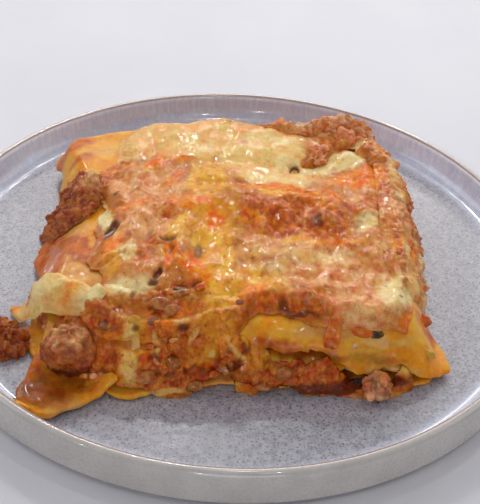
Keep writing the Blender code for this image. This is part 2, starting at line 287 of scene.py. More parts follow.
def add_piece(name, points, faces, **values):
    """A smooth object from points in millimetres, its faces turned outwards.

    values are numbers per point, kept as attributes for the material.
    """
    mesh = bpy.data.meshes.new(name)
    mesh.from_pydata((points * MM).tolist(), [], faces)
    three = np.array([face[:3] for face in faces] + [(face[0], *face[2:]) for face in faces
                                                     if len(face) == 4])
    a, b, c = points[three[:, 0]], points[three[:, 1]], points[three[:, 2]]
    if np.sum(a * np.cross(b, c)) < 0.0:
        mesh.flip_normals()
    for key, numbers in values.items():
        mesh.attributes.new(key, "FLOAT", "POINT").data.foreach_set(
            "value", np.ascontiguousarray(numbers, dtype=np.float32).ravel())
    mesh.shade_smooth()
    made = put_in_scene(name, mesh)
    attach(made, "root")
    return made


def ring_faces(rings, around, start=0, first_pole=None, last_pole=None):
    """Four-cornered faces between closed rings, and three-cornered ones to a pole at each end."""
    step = np.arange(around)
    after = (step + 1) % around
    faces = []
    for ring in range(rings - 1):
        near, far = start + ring * around, start + (ring + 1) * around
        faces += np.stack([near + step, far + step, far + after, near + after], axis=1).tolist()
    if first_pole is not None:
        faces += np.stack([np.full(around, first_pole), start + step, start + after],
                          axis=1).tolist()
    if last_pole is not None:
        last = start + (rings - 1) * around
        faces += np.stack([last + step, np.full(around, last_pole), last + after],
                          axis=1).tolist()
    return faces


def add_rings(name, rings, **values):
    """A closed body from rings (rings, around, 3), listed from one pole to the other."""
    count, around = rings.shape[:2]
    points = np.concatenate([rings.reshape(-1, 3), rings[0].mean(axis=0)[None],
                             rings[-1].mean(axis=0)[None]])
    ends = {key: np.concatenate([numbers.ravel(), [numbers[0].mean(), numbers[-1].mean()]])
            for key, numbers in values.items()}
    faces = ring_faces(count, around, 0, count * around, count * around + 1)
    return add_piece(name, points, faces, **ends)


def plate_section():
    """The half section from the middle of the floor out, over the lip, and under to the middle."""
    quarter = np.linspace(0.0, np.pi / 2.0, 13)
    half = np.linspace(np.pi, 0.0, 19)
    heel_x, heel_z = RIM_RADIUS - HEEL_RADIUS, UNDERSIDE + HEEL_RADIUS
    floor = [(x, FLOOR) for x in np.linspace(2.0, COVE_START - 2.0, 40)]
    cove = [(COVE_START + COVE_RADIUS * math.sin(a), FLOOR + COVE_RADIUS * (1.0 - math.cos(a)))
            for a in quarter]
    lip = [(RIM_RADIUS - LIP + LIP * math.cos(a), RIM_HEIGHT - LIP + LIP * math.sin(a))
           for a in half]
    wall = [(RIM_RADIUS, z) for z in np.linspace(RIM_HEIGHT - LIP - 1.0, heel_z + 1.0, 8)]
    heel = [(heel_x + HEEL_RADIUS * math.cos(a), heel_z - HEEL_RADIUS * math.sin(a))
            for a in quarter]
    foot = [(FOOT_OUTER + 6.0, UNDERSIDE), (FOOT_OUTER + 1.2, UNDERSIDE), (FOOT_OUTER + 0.4, 0.9),
            (FOOT_OUTER, 0.3), (FOOT_OUTER - 0.4, 0.0), (FOOT_INNER + 0.4, 0.0),
            (FOOT_INNER, 0.3), (FOOT_INNER - 1.0, RECESS), (FOOT_INNER - 3.0, RECESS),
            (2.0, RECESS)]
    return np.array(floor + cove + lip + wall + heel + foot)


def plate_rings(around):
    """The section carried round once; thrown clay wavers by a tenth of a millimetre."""
    section = plate_section()
    angle = np.arange(around) * 2.0 * np.pi / around
    radius = section[:, 0][:, None] * np.ones_like(angle)[None]
    height = section[:, 1][:, None] * np.ones_like(angle)[None]
    rings = np.stack([radius * np.cos(angle), radius * np.sin(angle), height], axis=-1)
    waver = 0.10 * hills(rings * (1.0, 1.0, 0.0), 38.0, 4) + 0.03 * hills(rings, 9.0, 5)
    above = np.clip((height - 1.5) / 2.0, 0.0, 1.0)
    inside = above * np.clip((RIM_RADIUS - radius) / 4.0, 0.0, 1.0)
    rings[..., 2] += waver * inside
    return rings


plate = add_rings("plate_turned", plate_rings(384))
# Fired glaze is glassy: a clear coat over a ground that is partly matt, so its shine is broken.
glaze = new_material("speckled_grey_stoneware_glaze", Roughness=0.28, IOR=1.5, Coat_Weight=0.8,
                     Coat_Roughness=0.07, Coat_IOR=1.5)


def tinted(material, now, value, low, high, most, tint):
    """A colour carried over to another as a value goes from low to high, by `most` at the end."""
    return mixed(material, ramped(material, value, low, high, 0.0, most), now, tint)


def mottled(material, where, size, first, second, seed=0.0, edges=(0.36, 0.64), detail=3.0):
    """Two colours in soft patches of a size."""
    return mixed(material, ramped(material, grain(material, where, size, detail, 0.5, seed), *edges),
                 colour(first), colour(second))


def drawn_out(material, where, factors):
    """A place times factors: what is laid out by it grows longer where a factor is small."""
    return add_node(material, "ShaderNodeVectorMath", (0, where), (1, factors),
                    operation="MULTIPLY")


def glaze_nodes():
    """Fired glaze: iron specks 0.7 mm across in a mottled ground, and streaks where it ran. The
    inner wall and the band below the lip are lighter and bluer, partly glaze runs and partly
    painted light.
    """
    where = object_place(glaze)
    flat = drawn_out(glaze, where, (1.0, 1.0, 0.0))
    radius = add_node(glaze, "ShaderNodeVectorMath", (0, flat), out=1, operation="LENGTH")
    height = add_node(glaze, "ShaderNodeSeparateXYZ", (0, where), out=2)
    down_the_wall = drawn_out(glaze, where, (1.0, 1.0, 0.12))
    now = mottled(glaze, where, 2.2, "#a09ea7", "#b6b5be", edges=(0.35, 0.65), detail=2.0)
    now = tinted(glaze, now, grain(glaze, where, 0.85, 1.0, 0.4), 0.56, 0.64, 0.72,
                 colour("#5c5a63"))
    now = tinted(glaze, now, grain(glaze, where, 0.7, 1.0, 0.4, 3.0), 0.60, 0.70, 0.45,
                 colour("#d8d8e0"))
    run = grain(glaze, down_the_wall, 1.6, 2.0, 0.6, 7.0)
    wide_run = grain(glaze, down_the_wall, 9.0, 1.0, 0.5, 9.0)
    # The inner wall and the band below the lip are lighter and bluer than the floor: partly glaze
    # runs, partly painted light.
    wall = mixed(glaze, ramped(glaze, run, 0.25, 0.75), colour("#ccd6f4"), colour("#e6f0ff"))
    wall = tinted(glaze, wall, wide_run, 0.4, 0.62, 0.4, colour("#cfcde0"))
    high = mixed(glaze, ramped(glaze, run, 0.3, 0.7), colour("#d8dcf0"), colour("#e8eefc"))
    cream = mottled(glaze, where, 12.0, "#beb9b4", "#c9c4bf", edges=(0.35, 0.65), detail=2.0)
    for value, low, high_end, most, tint in (
            (radius, COVE_START - 3.0, COVE_START + 3.5, 0.85, wall),
            (height, RIM_HEIGHT - 8.0, RIM_HEIGHT - 3.0, 0.8, high),
            (radius, RIM_RADIUS - 3.6, RIM_RADIUS - 3.0, 1.0, colour("#a78a7c")),
            (radius, RIM_RADIUS - 2.7, RIM_RADIUS - 1.9, 1.0, cream),
            (height, 3.2, 2.4, 1.0, cream)):
        now = tinted(glaze, now, value, low * MM, high_end * MM, most, tint)
    matt = ramped(glaze, grain(glaze, where, 1.1, 2.0), 0.3, 0.7, 0.22, 0.38)
    bump = add_node(glaze, "ShaderNodeBump", ("Height", grain(glaze, where, 1.4, 2.0)),
                    ("Strength", 0.25), ("Distance", 0.12 * MM))
    finish_with(glaze, Base_Color=now, Roughness=matt, Normal=bump)


glaze_nodes()
plate.data.materials.append(glaze)
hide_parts("plate")

# ----------------------------------------------
# The slice's build-up: three pasta sheets and two mince layers under a cheese crust, each
# measured from the plate up. A layer's thickness dies away past its outline, so that what lies
# above sinks over its edge. These are the solids' own sizes, in millimetres.
# ----------------------------------------------
CENTRE = (-2.0, 0.0)
HALF_WIDTH = 63.0
HALF_DEPTH = 60.5
SQUARENESS = 8.0
GAP = 0.4
SHEET = dict(thick=1.8, drop=3.0, shoulder=0.5, edge=1.4)
COVE_LEAD = 1.5  # the food starts to climb this far before the wall's cove
# `reach` carries the outline past the knife's, `drop` and `shoulder` say how the layer sinks
# there, `edge` rounds it and `fray` unsettles it. A bulge is a direction, an amount and a width.
LAYERS = {
    "pasta_bottom": dict(
        SHEET, reach=3.5, fray=0.7,
        bulges=((246, 10.0, 8), (260, 2.0, 5), (307, -5.5, 5), (321, 6.0, 6), (200, 1.5, 12),
                (20, -1.5, 9), (100, 1.5, 14)),
    ),
    "mince_lower": dict(
        thick=6.6, reach=0.8, drop=9.0, shoulder=5.0, edge=2.4, fray=0.9,
        bulges=((247, 6.0, 8), (278, -2.0, 5), (307, -6.0, 6), (323, 2.0, 5), (182, -4.5, 24),
                (40, -3.0, 9), (224, -5.0, 8), (5, 1.5, 6), (142, 8.0, 7)),
    ),
    "pasta_middle": dict(
        SHEET, reach=2.2, fray=0.5,
        bulges=((234.5, 28.0, 8.5), (218, -6.0, 5), (256, -1.5, 5), (284, 0.8, 7),
                (307, -5.5, 5), (320, 4.5, 6), (180, -3.0, 20), (15, 1.0, 8), (70, 1.5, 8),
                (142, 4.0, 7)),
    ),
    "mince_upper": dict(
        thick=7.8, reach=-2.0, drop=10.0, shoulder=6.0, edge=2.6, fray=0.9,
        bulges=((250, 1.5, 9), (296, -2.0, 7), (321, -1.0, 8), (182, -8.0, 26), (226, -6.0, 8),
                (142, 6.5, 8), (10, 3.5, 12), (350, 2.5, 8), (28, 2.5, 8), (95, 5.0, 20)),
    ),
    "pasta_top": dict(
        SHEET, reach=0.8, fray=1.1,
        bulges=((142, 10.5, 7), (156, 3.0, 4), (183, 5.5, 20), (226, -13.0, 10), (250, -6.0, 10),
                (325, 13.5, 9), (10, -3.0, 14), (42, -6.0, 10), (93, 4.0, 20)),
    ),
    "cheese_crust": dict(
        thick=3.2, reach=-4.5, drop=2.0, shoulder=4.0, edge=1.6,
        bulges=((94, 9.5, 19), (120, 2.0, 6), (143, -17.0, 15), (183, -13.5, 18), (206, -11.0, 10),
                (222, -18.0, 8), (250, 4.0, 11), (286, -3.5, 9), (320, 3.0, 6), (350, 2.5, 20),
                (45, -5.0, 9)),
    ),
}
# Humps and hollows of the upper mince, and then of the crust: x, y, height, and width and depth
# in plan.
SWELLS = (
    (6, 1, 3.4, 40, 10), (24, 28, -2.0, 16, 8), (-12, 44, 0.8, 22, 12), (-20, -34, 1.2, 18, 10),
    (14, -24, 0.6, 14, 8), (48, -34, -1.8, 14, 16), (-34, 12, -1.0, 10, 16),
    (-12, 56, 1.8, 30, 12), (58, -48, 1.5, 14, 12), (-28, -56, -5.4, 25, 9),
    (-62, 54, -4.0, 16, 16),
)
CRUST_SWELLS = (
    (16, -49, 1.5, 17, 3.0), (26, -42, 1.0, 12, 3.5), (18, -37, -0.8, 14, 3.0),
    (31, 35, -1.7, 5, 3.2), (-30, -38, 0.8, 7, 7), (-8, 20, 0.6, 12, 5),
)


def smooth_step(share):
    """0 below 0, 1 above 1, and 3s^2 - 2s^3 between."""
    share = np.clip(share, 0.0, 1.0)
    return share * share * (3.0 - 2.0 * share)


def degrees_off(angle, direction):
    """How far an angle lies from a direction given in degrees: -180 to 180 degrees."""
    return (np.degrees(angle) - direction + 180.0) % 360.0 - 180.0


def outline(name, angle):
    """The knife's superellipse, |x/a|^n + |y/b|^n = 1, plus the layer's reach and bulges."""
    layer = LAYERS[name]
    across = np.abs(np.cos(angle)) / HALF_WIDTH
    along = np.abs(np.sin(angle)) / HALF_DEPTH
    radius = (across**SQUARENESS + along**SQUARENESS) ** (-1.0 / SQUARENESS) + layer["reach"]
    for direction, amount, width in layer["bulges"]:
        radius = radius + amount * np.exp(-((degrees_off(angle, direction) / width) ** 2))
    return radius


def plan_point(radius, angle):
    """x and y at a radius and an angle about the slice's centre."""
    return CENTRE[0] + radius * np.cos(angle), CENTRE[1] + radius * np.sin(angle)


def swell(places, x, y):
    """The sum of round-topped humps exp(-(dx/sx)^2 - (dy/sy)^2), each times its height."""
    total = np.zeros_like(x)
    for at_x, at_y, tall, wide, deep in places:
        total = total + tall * np.exp(-(((x - at_x) / wide) ** 2) - ((y - at_y) / deep) ** 2)
    return total


def inside_of(name, x, y):
    """How far a plan point lies inside a layer's outline; less than 0 is outside."""
    angle = np.arctan2(y - CENTRE[1], x - CENTRE[0])
    return outline(name, angle) - np.hypot(x - CENTRE[0], y - CENTRE[1])


def thickness(name, x, y):
    """A layer's thickness: full inside, sinking over its shoulder and gone past its drop."""
    layer = LAYERS[name]
    full = layer["thick"]
    if name == "mince_upper":
        full = full + swell(SWELLS, x, y)
    if name == "cheese_crust":
        full = full + swell(CRUST_SWELLS, x, y)
    run = layer["drop"] + layer["shoulder"]
    return full * smooth_step((inside_of(name, x, y) + layer["drop"]) / run)


def level(name, x, y):
    """The height of the underside of what lies on this layer; None is the plate itself."""
    into_cove = np.clip(np.hypot(x, y) - COVE_START + COVE_LEAD, 0.0, 0.95 * COVE_RADIUS)
    height = FLOOR + GAP + COVE_RADIUS - np.sqrt(COVE_RADIUS**2 - into_cove**2)
    if name is None:
        return height
    for each in LAYERS:
        height = height + thickness(each, x, y) + GAP
        if each == name:
            return height
    raise KeyError(name)


def drape(x, y):
    """The height of the food's own surface: as level, but each gap closes where a layer ends."""
    height = level(None, x, y) - GAP
    for each in LAYERS:
        thick = thickness(each, x, y)
        height = height + thick + GAP * np.minimum(1.0, thick / 0.6)
    return height


# ----------------------------------------------
# The crust: mozzarella and bechamel baked over the top mince, so it is smooth and pale yellow
# where the cheese pooled, and tan, orange and brown over the lumps that it barely covers. It is
# one grid on top with rings round its rim and underneath.
# ----------------------------------------------
# Seen from above: x, y, half length, half width, turn in degrees and strength.
CRUST = {
    "yellow": (
        (-22, 46, 21, 14, 0, 1.2), (8, 38, 17, 15, 0, 1.1), (12, 23, 15, 6, -6, 0.9),
        (-42, 38, 11, 8, 20, 0.8), (26, -26, 12, 5, 8, 0.5), (53, -38, 7, 9, 20, 0.5),
        (-50, 50, 10, 6, 0, 0.5), (8, -24, 7, 4, 0, 0.5),
    ),
    "gold": (
        (-12, 14, 6, 13, 0, 1.2), (-10, -4, 8, 9, 0, 0.8), (-7, -26, 5.5, 23, 2, 1.2),
        (6, -40, 10, 7, 0, 0.8), (-17, -14, 6, 9, 0, 0.8), (-41, -29, 3, 9, 8, 0.8),
        (-2, -50, 8, 5, 0, 0.8), (-62, 46, 10, 8, 0, 0.9), (14, 8, 12, 4, 0, 0.7),
        (52, 20, 5, 6, 0, 0.6), (38, -14, 8, 4, 0, 0.6), (22, -17, 6, 3, 0, 0.7),
        (-36, 24, 6, 3, 0, 0.5),
    ),
    "cream": (
        (38, 35, 14, 4.4, 27, 1.1), (18, 33, 5, 4, 40, 0.9), (14, 21, 11, 3.0, -8, 0.5),
        (46, -4, 6, 3.2, 50, 0.8), (-47, -7, 10, 2.6, 112, 1.2), (-36, -29, 4.5, 2.0, 100, 0.9),
        (-34, -45, 9, 4.0, 12, 0.7), (53, -40, 10, 5, 70, 0.8), (40, -52, 7, 2.6, 0, 0.35),
        (33, -24, 9, 4, 10, 0.4), (12, -33, 7, 4, 0, 0.4), (-12, 40, 8, 3, 90, 0.4),
        (10, 46, 10, 4, 0, 0.5),
    ),
    "orange": (
        (45, 24, 10, 6, 20, 1.1), (50, 24, 7, 4, 80, 1.2), (34, 8, 4, 1.8, 100, 1.2),
        (-18, 0, 8, 4, 10, 0.7), (-8, -8, 6, 4, 90, 0.7), (-14, -33, 6, 5, 80, 0.7),
        (16, 13, 15, 3.6, -6, 0.9), (-31, 27, 6, 3, 40, 0.65), (-24, 31, 9, 2.2, -8, 0.5),
        (-7, 57, 4, 3, 0, 0.3), (0, 52, 5, 2.6, 20, 0.4), (-60, 46, 10, 6, 0, 0.5),
        (-24, 17, 7, 3, 70, 0.6), (-10, -39, 5, 2.4, 80, 0.8), (12, -7, 10, 5, -10, 0.9),
        (30, -16, 10, 3.6, 0, 0.6), (-42, -24, 8, 2.6, 80, 0.8), (-22, -28, 7, 2.0, 88, 0.9),
        (26, -45, 9, 2.6, 8, 0.3), (6, -47, 6, 3, 60, 0.8), (57, 2, 10, 3, 80, 0.7),
        (57, -13, 6, 2.5, 60, 1.0), (-36, 0, 9, 4, 20, 0.5), (58, -50, 6, 2.5, 40, 0.7),
        (-20, -52, 8, 3, 0, 0.7), (22, 2, 12, 6, 0, 0.6), (-48, 22, 8, 3, 30, 0.6),
    ),
    "brown": (
        (17, -2, 13, 6, -8, 1.2), (30, -8, 9, 7, 0, 1.4), (12, -12, 8, 3, 0, 0.9),
        (48, 6, 7, 4, 20, 0.7), (55, 18, 6, 3.5, 70, 0.9), (57, -2, 13, 3.0, 85, 0.6),
        (-25, -5, 5, 2.2, 80, 0.8), (-45, 26, 4, 2.0, 80, 0.9), (-28, 25, 4, 2, 70, 0.5),
        (-33, -31, 4.5, 3.2, 0, 0.9), (-29, -22, 6, 3.6, 70, 0.7), (-22, -50, 6, 4, 0, 0.9),
        (-15, -43, 5, 2.4, 10, 0.9), (18, -49, 12, 3.0, 4, 1.2), (28, -52, 8, 2.0, 4, 0.6),
        (-44, -16, 5, 2.2, 70, 1.0), (-50, 14, 8, 5, 60, 0.6), (1, 43, 3.0, 2.2, 60, 0.5),
        (-23, 57, 3, 1.6, 0, 0.6), (29, 40, 7, 2.6, 55, 0.9), (36, -33, 4, 2.4, 0, 0.4),
        (-48, -52, 8, 3, 0, 0.7), (40, -20, 8, 3, 0, 0.4), (4, 6, 5, 4, 0, 0.5), (40, 2, 6, 4, 0, 0.6),
        (45, 48, 8, 5, 20, 0.5),
    ),
    "pink": (
        (-33, 11, 13, 10, 0, 0.9), (-32, -9, 10, 10, 0, 0.9), (48, 8, 10, 9, 0, 0.7),
        (17, -35, 8, 4, 0, 0.8), (36, -33, 10, 8, 0, 0.9), (40, -49, 10, 7, 0, 1.1),
        (51, -16, 8, 8, 0, 0.7), (27, -38, 8, 4, 0, 0.6), (-15, 54, 8, 3, 0, 0.4),
        (-30, -40, 9, 6, 0, 0.5), (40, -47, 8, 4, 0, 0.4), (30, 20, 9, 3, 0, 0.4),
        (10, -18, 9, 4, -10, 0.6), (44, 55, 12, 6, 10, 0.5), (-48, 30, 8, 4, 30, 0.5),
    ),
    # Dark bits, and painted shade in the holes and in the line under the front lip.
    "dark": (
        (24, 12, 2.2, 1.6, 60, 0.7), (28, -6, 4.0, 2.0, 80, 0.7), (36, -3, 2.0, 1.4, 0, 0.5),
        (-44, 6, 1.8, 0.8, 60, 0.7), (20.5, 30, 2.1, 1.6, 60, 1.0), (26, 36, 1.8, 1.0, 60, 0.7),
        (33, 45, 1.7, 1.2, 40, 0.8), (-23, -20, 3.2, 1.5, 20, 0.7), (-25, -39, 3.2, 0.9, 80, 1.0),
        (-26, -43.5, 1.6, 1.3, 0, 0.8), (-12, -42, 2.0, 1.0, 60, 0.8), (-16, -44, 2.0, 1.0, 0, 0.7),
        (-33, -48, 2.0, 1.0, 60, 0.7), (-43, -13, 4.2, 1.6, 70, 0.9), (18, -53.5, 10, 0.8, 2, 0.8),
        (-21.5, -25, 3.0, 1.0, 85, 0.6), (55, 20, 2.2, 0.9, 60, 0.5), (5, -27, 1.0, 0.6, 0, 0.5),
        (8, -28, 1.1, 0.5, 30, 0.5), (-30, 8, 0.9, 0.6, 0, 0.4), (-10, -56, 1.8, 1.0, 0, 0.8),
        (49, -38, 0.8, 0.5, 0, 0.7), (54, -43, 0.7, 0.5, 0, 0.7), (44, -44, 0.7, 0.4, 0, 0.7),
        (-8, 27, 1.0, 0.6, 0, 0.4), (10, 33, 0.9, 0.6, 0, 0.4),
    ),
}
# The same, with each hole's depth in place of the strength.
CRUST_HOLES = (
    (20.5, 30, 2.0, 1.5, 60, 2.6), (27, 36, 4.2, 2.4, 48, 2.0), (31, 42, 4.2, 2.4, 50, 1.9),
    (-22, -27, 4.6, 1.5, 86, 1.7), (-25, -39, 3.2, 1.0, 80, 2.0), (-26, -43.5, 1.6, 1.3, 0, 1.3),
    (-33, -48, 2.0, 1.2, 60, 1.5), (-12, -42, 2.2, 1.2, 60, 1.3), (-16, -44, 2.6, 1.4, 0, 1.0),
    (-43, -14, 4.6, 1.7, 70, 2.2), (-33, -31, 3.2, 2.2, 0, 1.0), (-23, -20, 2.8, 1.4, 20, 1.0),
    (-10, -56, 2.2, 1.2, 0, 1.6), (-38, -21, 3.6, 1.2, 75, 1.1), (8, -53, 5, 1.2, 6, 1.2),
    (24, -52, 6, 1.2, 0, 1.2), (49, 44, 3, 1.6, 30, 1.3), (42, 50, 3, 1.6, 60, 1.2),
)
# x, y, height, width and depth in plan; a height below 0 is a groove.
CRUST_FOLDS = (
    (9, -48, 1.3, 2.6, 6), (16, -51, -1.0, 2.2, 4), (23, -49, 1.4, 3.0, 6), (30, -51, -1.0, 2.0, 4),
    (36, -50, 0.9, 3.0, 5), (43, -52, -0.9, 2.2, 4), (50, -50, 0.7, 3.0, 5), (-19, -22, 1.3, 3.0, 9),
    (-13, -24, -1.0, 2.4, 8), (-3, -22, 1.1, 3.5, 12), (6, -30, -0.8, 3.0, 8), (14, -33, 0.9, 4.0, 6),
    (22, -28, -0.8, 3.0, 6), (-36, -14, 1.1, 3.0, 8), (-30, -18, -1.0, 2.4, 6), (-4, 9, 1.2, 16, 2.6),
    (22, 6, 0.9, 12, 2.4), (40, -18, 0.9, 4.0, 6), (48, -27, -0.7, 3.0, 5), (-24, 14, 0.9, 5, 4),
    (-38, 20, 0.9, 5, 4), (-2, 30, -0.7, 8, 3), (34, -34, 0.7, 5, 3),
)
CRUST_BAYS = ((246, 7.0, 17), (2, 3.5, 30), (45, 3.0, 12))  # direction, depth and width
CRUST_EDGE = 0.9  # the radius that its thin rim is rounded by
FOLDS_DRAWN_OUT = 0.7  # y is taken this many times, as the melted cheese slid front to back
PATTERN_DRAWN_OUT = 0.6


def flat_place(u, v):
    """Two coordinates as points of a plane, for noise that doesn't change with height."""
    return np.stack([u, v, np.zeros_like(u)], axis=-1)


def painted(ovals, u, v, blur=4.0, fray=1.0):
    """For each name in `ovals`, how strongly its soft-edged ovals cover each point: the most of
    strength / (1 + d^blur).

    An oval is (u, v, half length, half width, turn in degrees, strength), and d is 1 on its
    outline, which noise moves about by `fray`.
    """
    at = flat_place(u, v)
    u = u + fray * (1.5 * hills(at, 9.0, 11) + 0.7 * rough(at, 3.6, 13, 2))
    v = v + fray * (1.5 * hills(at, 9.0, 12) + 0.7 * rough(at, 3.6, 15, 2))
    shares = {}
    for name, places in ovals.items():
        most = np.zeros_like(u)
        for at_u, at_v, long_way, short_way, turn, strength in places:
            c, s = math.cos(math.radians(turn)), math.sin(math.radians(turn))
            along = ((u - at_u) * c + (v - at_v) * s) / long_way
            across = ((v - at_v) * c - (u - at_u) * s) / short_way
            most = np.maximum(most, strength / (1.0 + (along**2 + across**2) ** (blur / 2.0)))
        shares[name] = most
    return shares


def grains(points, size, seed=0):
    """Cells of random middles `size` apart: the distance to the nearest middle, in cells, and a
    random number of its own."""
    place = points / size + 1000.0
    corner = np.floor(place)
    best = np.full(points.shape[:-1], 9.0)
    pick = np.zeros_like(best)
    for step in np.ndindex(3, 3, 3):
        cell = corner + step - 1.0
        random = cell_numbers(cell, seed)
        distance = np.linalg.norm(cell + 0.1 + 0.8 * random - place, axis=-1)
        pick = np.where(distance < best, random[..., 0], pick)
        best = np.minimum(best, distance)
    return best, pick


def crust_relief(x, y, shares):
    """Height added to the crust: soft folds, blurred lumps where the mince is near, hollows.

    Returns the height, and how far each point stands on a lump of mince under the cheese.
    """
    at = flat_place(x, FOLDS_DRAWN_OUT * y)
    lumpy = np.clip(0.36 + 0.7 * shares["brown"] + 0.5 * shares["pink"] + 0.3 * shares["orange"]
                    - 0.55 * shares["yellow"] - 0.4 * shares["cream"], 0.06, 1.1)
    bent = at + 1.4 * np.stack([hills(at, 5.0, 21), hills(at, 5.0, 22), at[..., 2]], axis=-1)
    near, pick = grains(bent, 5.2, 23)
    mounds = np.exp(-((near / 0.55) ** 2)) * (0.3 + 0.9 * pick)
    near_small, pick_small = grains(bent, 2.4, 24)
    crumbs = np.exp(-((near_small / 0.5) ** 2)) * (0.2 + 0.9 * pick_small)
    folds = 1.1 * hills(at, 14.0, 25) + 0.95 * hills(at, 7.5, 26) + 0.2 * hills(at, 3.6, 27)
    folds = (1.0 - 0.35 * shares["yellow"]) * folds + swell(CRUST_FOLDS, x, y)
    height = folds + lumpy * (1.7 * mounds + 0.45 * crumbs - 0.6)
    hole = painted({"hole": CRUST_HOLES}, x, y, 5.0, 0.7)["hole"]
    return height - hole, lumpy * (0.7 * mounds + 0.5 * crumbs)


def corners_of(grid):
    """The four corners of each square of a grid, in turn, along a new last axis."""
    return np.stack([grid[:-1, :-1], grid[:-1, 1:], grid[1:, 1:], grid[1:, :-1]], axis=-1)


def crust_body():
    """A square of points carried out to the outline by u, v -> direction and share, then rings
    over the thin rim, in underneath and to the middle."""
    side = 288
    line = np.linspace(-1.0, 1.0, side)
    u, v = np.meshgrid(line, line, indexing="xy")
    share = np.maximum(np.abs(u), np.abs(v))
    angle = np.arctan2(v * HALF_DEPTH, u * HALF_WIDTH)
    at_edge = 60.0 * flat_place(np.cos(angle), np.sin(angle))
    out = outline("cheese_crust", angle) + 1.5 * hills(at_edge, 13.0, 41)
    out = out + 1.3 * rough(at_edge, 5.0, 42, 3)
    for direction, amount, width in CRUST_BAYS:
        out = out - amount * np.exp(-((degrees_off(angle, direction) / width) ** 4))
    radius = share * (out - CRUST_EDGE)
    x, y = plan_point(radius, angle)
    shares = painted(CRUST, x, y, 4.0, 0.8)
    relief, lump = crust_relief(x, y, shares)
    taper = smooth_step((out - radius) / 9.0)
    thick = (0.22 + 0.78 * taper) * np.maximum(thickness("cheese_crust", x, y), 1.6)
    top = level("pasta_top", x, y) + np.maximum(thick + relief * (0.45 + 0.55 * taper), 0.45)
    grid = np.stack([x, y, top], axis=-1)

    border = ([(0, k) for k in range(side - 1)] + [(k, side - 1) for k in range(side - 1)]
              + [(side - 1, k) for k in range(side - 1, 0, -1)]
              + [(k, 0) for k in range(side - 1, 0, -1)])
    rows, columns = np.array(border).T
    rim_angle, rim_out, rim_top = angle[rows, columns], out[rows, columns], top[rows, columns]
    rings = []
    for reach, drop in [(CRUST_EDGE * math.sin(t), (1.0 + math.cos(t)) / 2.0)
                        for t in np.linspace(0.0, np.pi, 8)[1:]] + [(-12.0, 0.0), (-40.0, 0.0)]:
        ring_x, ring_y = plan_point(rim_out - CRUST_EDGE + reach, rim_angle)
        low = level("pasta_top", ring_x, ring_y)
        rings.append(np.stack([ring_x, ring_y, low + drop * (rim_top - low)], axis=-1))
    rings = np.array(rings)
    points = np.concatenate([grid.reshape(-1, 3), rings.reshape(-1, 3),
                             rings[-1].mean(axis=0)[None]])
    index = np.arange(side * side).reshape(side, side)
    faces = corners_of(index).reshape(-1, 4).tolist()
    around, start = len(border), side * side
    rim_index = index[rows, columns]
    step = np.arange(around)
    after = (step + 1) % around
    faces += np.stack([rim_index[step], start + step, start + after, rim_index[after]],
                      axis=1).tolist()
    faces += ring_faces(len(rings), around, start, None, len(points) - 1)
    values = painted(CRUST, points[:, 0], points[:, 1], 4.0, 0.8)
    # Painted shade in the crust's low hollows and holes.
    values["hollow_shade"] = np.concatenate([np.clip(-0.3 - relief / 1.8, 0.0, 1.0).ravel(),
                                    np.full(len(points) - start, 0.2)])
    values["lump"] = np.concatenate([lump.ravel(), np.full(len(points) - start, 0.2)])
    return points, faces, values


def attribute(material, name):
    """A number kept on the points of the mesh."""
    return add_node(material, "ShaderNodeAttribute", out=2, attribute_name=name)


def frayed(material, name, where, size, seed, most=1.0):
    """A painted share with its edge broken up by noise, times `most`."""
    noise = grain(material, where, size, 5.0, 0.62, seed)
    total = add_node(material, "ShaderNodeMath", (0, noise), (1, 0.9), (2, -0.45),
                     operation="MULTIPLY_ADD")
    total = add_node(material, "ShaderNodeMath", (0, attribute(material, name)), (1, total))
    return ramped(material, total, 0.12, 0.68, 0.0, most)


def new_food(name, bleed=0.0, depth=0.05, hues=(1.0, 0.2, 0.1), specular=0.1, coat=0.3,
             coat_roughness=0.1, coat_index=1.5):
    """Moist food under a coat of oil; a share `bleed` of the light runs `depth` metres in."""
    return new_material(name, IOR=1.45, Subsurface_Weight=bleed, Subsurface_Scale=depth,
                        Subsurface_Radius=hues, Specular_IOR_Level=specular, Coat_Weight=coat,
                        Coat_Roughness=coat_roughness, Coat_IOR=coat_index)


def finish_food(material, now, where, fleck, wet, bump_size, bump_height):
    """Ends a food: flecks of other values and hues, roughness in patches, a fine relief, and a
    still finer one on the wet coat alone, which breaks its shine into glints."""
    value = ramped(material, grain(material, where, 1.3, 3.0, 0.6, 11.0), 0.3, 0.7,
                   1.0 - fleck, 1.0 + fleck)
    hue = ramped(material, grain(material, where, 2.4, 3.0, 0.6, 12.0), 0.35, 0.65, 0.487, 0.511)
    now = add_node(material, "ShaderNodeHueSaturation", ("Color", now), ("Value", value),
                   ("Hue", hue))
    gloss = ramped(material, grain(material, where, 2.6, 2.0, 0.5, 13.0), 0.35, 0.65, *wet)
    bump = add_node(material, "ShaderNodeBump",
                    ("Height", grain(material, where, bump_size, 3.0, 0.55, 15.0)),
                    ("Strength", 1.0), ("Distance", bump_height * MM))
    drops = add_node(material, "ShaderNodeBump",
                     ("Height", grain(material, where, 2.6, 0.0, 0.5, 17.0)),
                     ("Strength", 1.0), ("Distance", 0.12 * MM))
    finish_with(material, Base_Color=now, Roughness=gloss, Normal=bump, Coat_Normal=drops)


# Baked cheese is cloudy and pale inside, so light bleeds about 2 mm; its fat is a wet coat.
baked = new_food("oven_browned_cheese_and_bechamel", 0.22, 0.002, (1.0, 0.5, 0.22), coat=0.32,
                 coat_roughness=0.12)


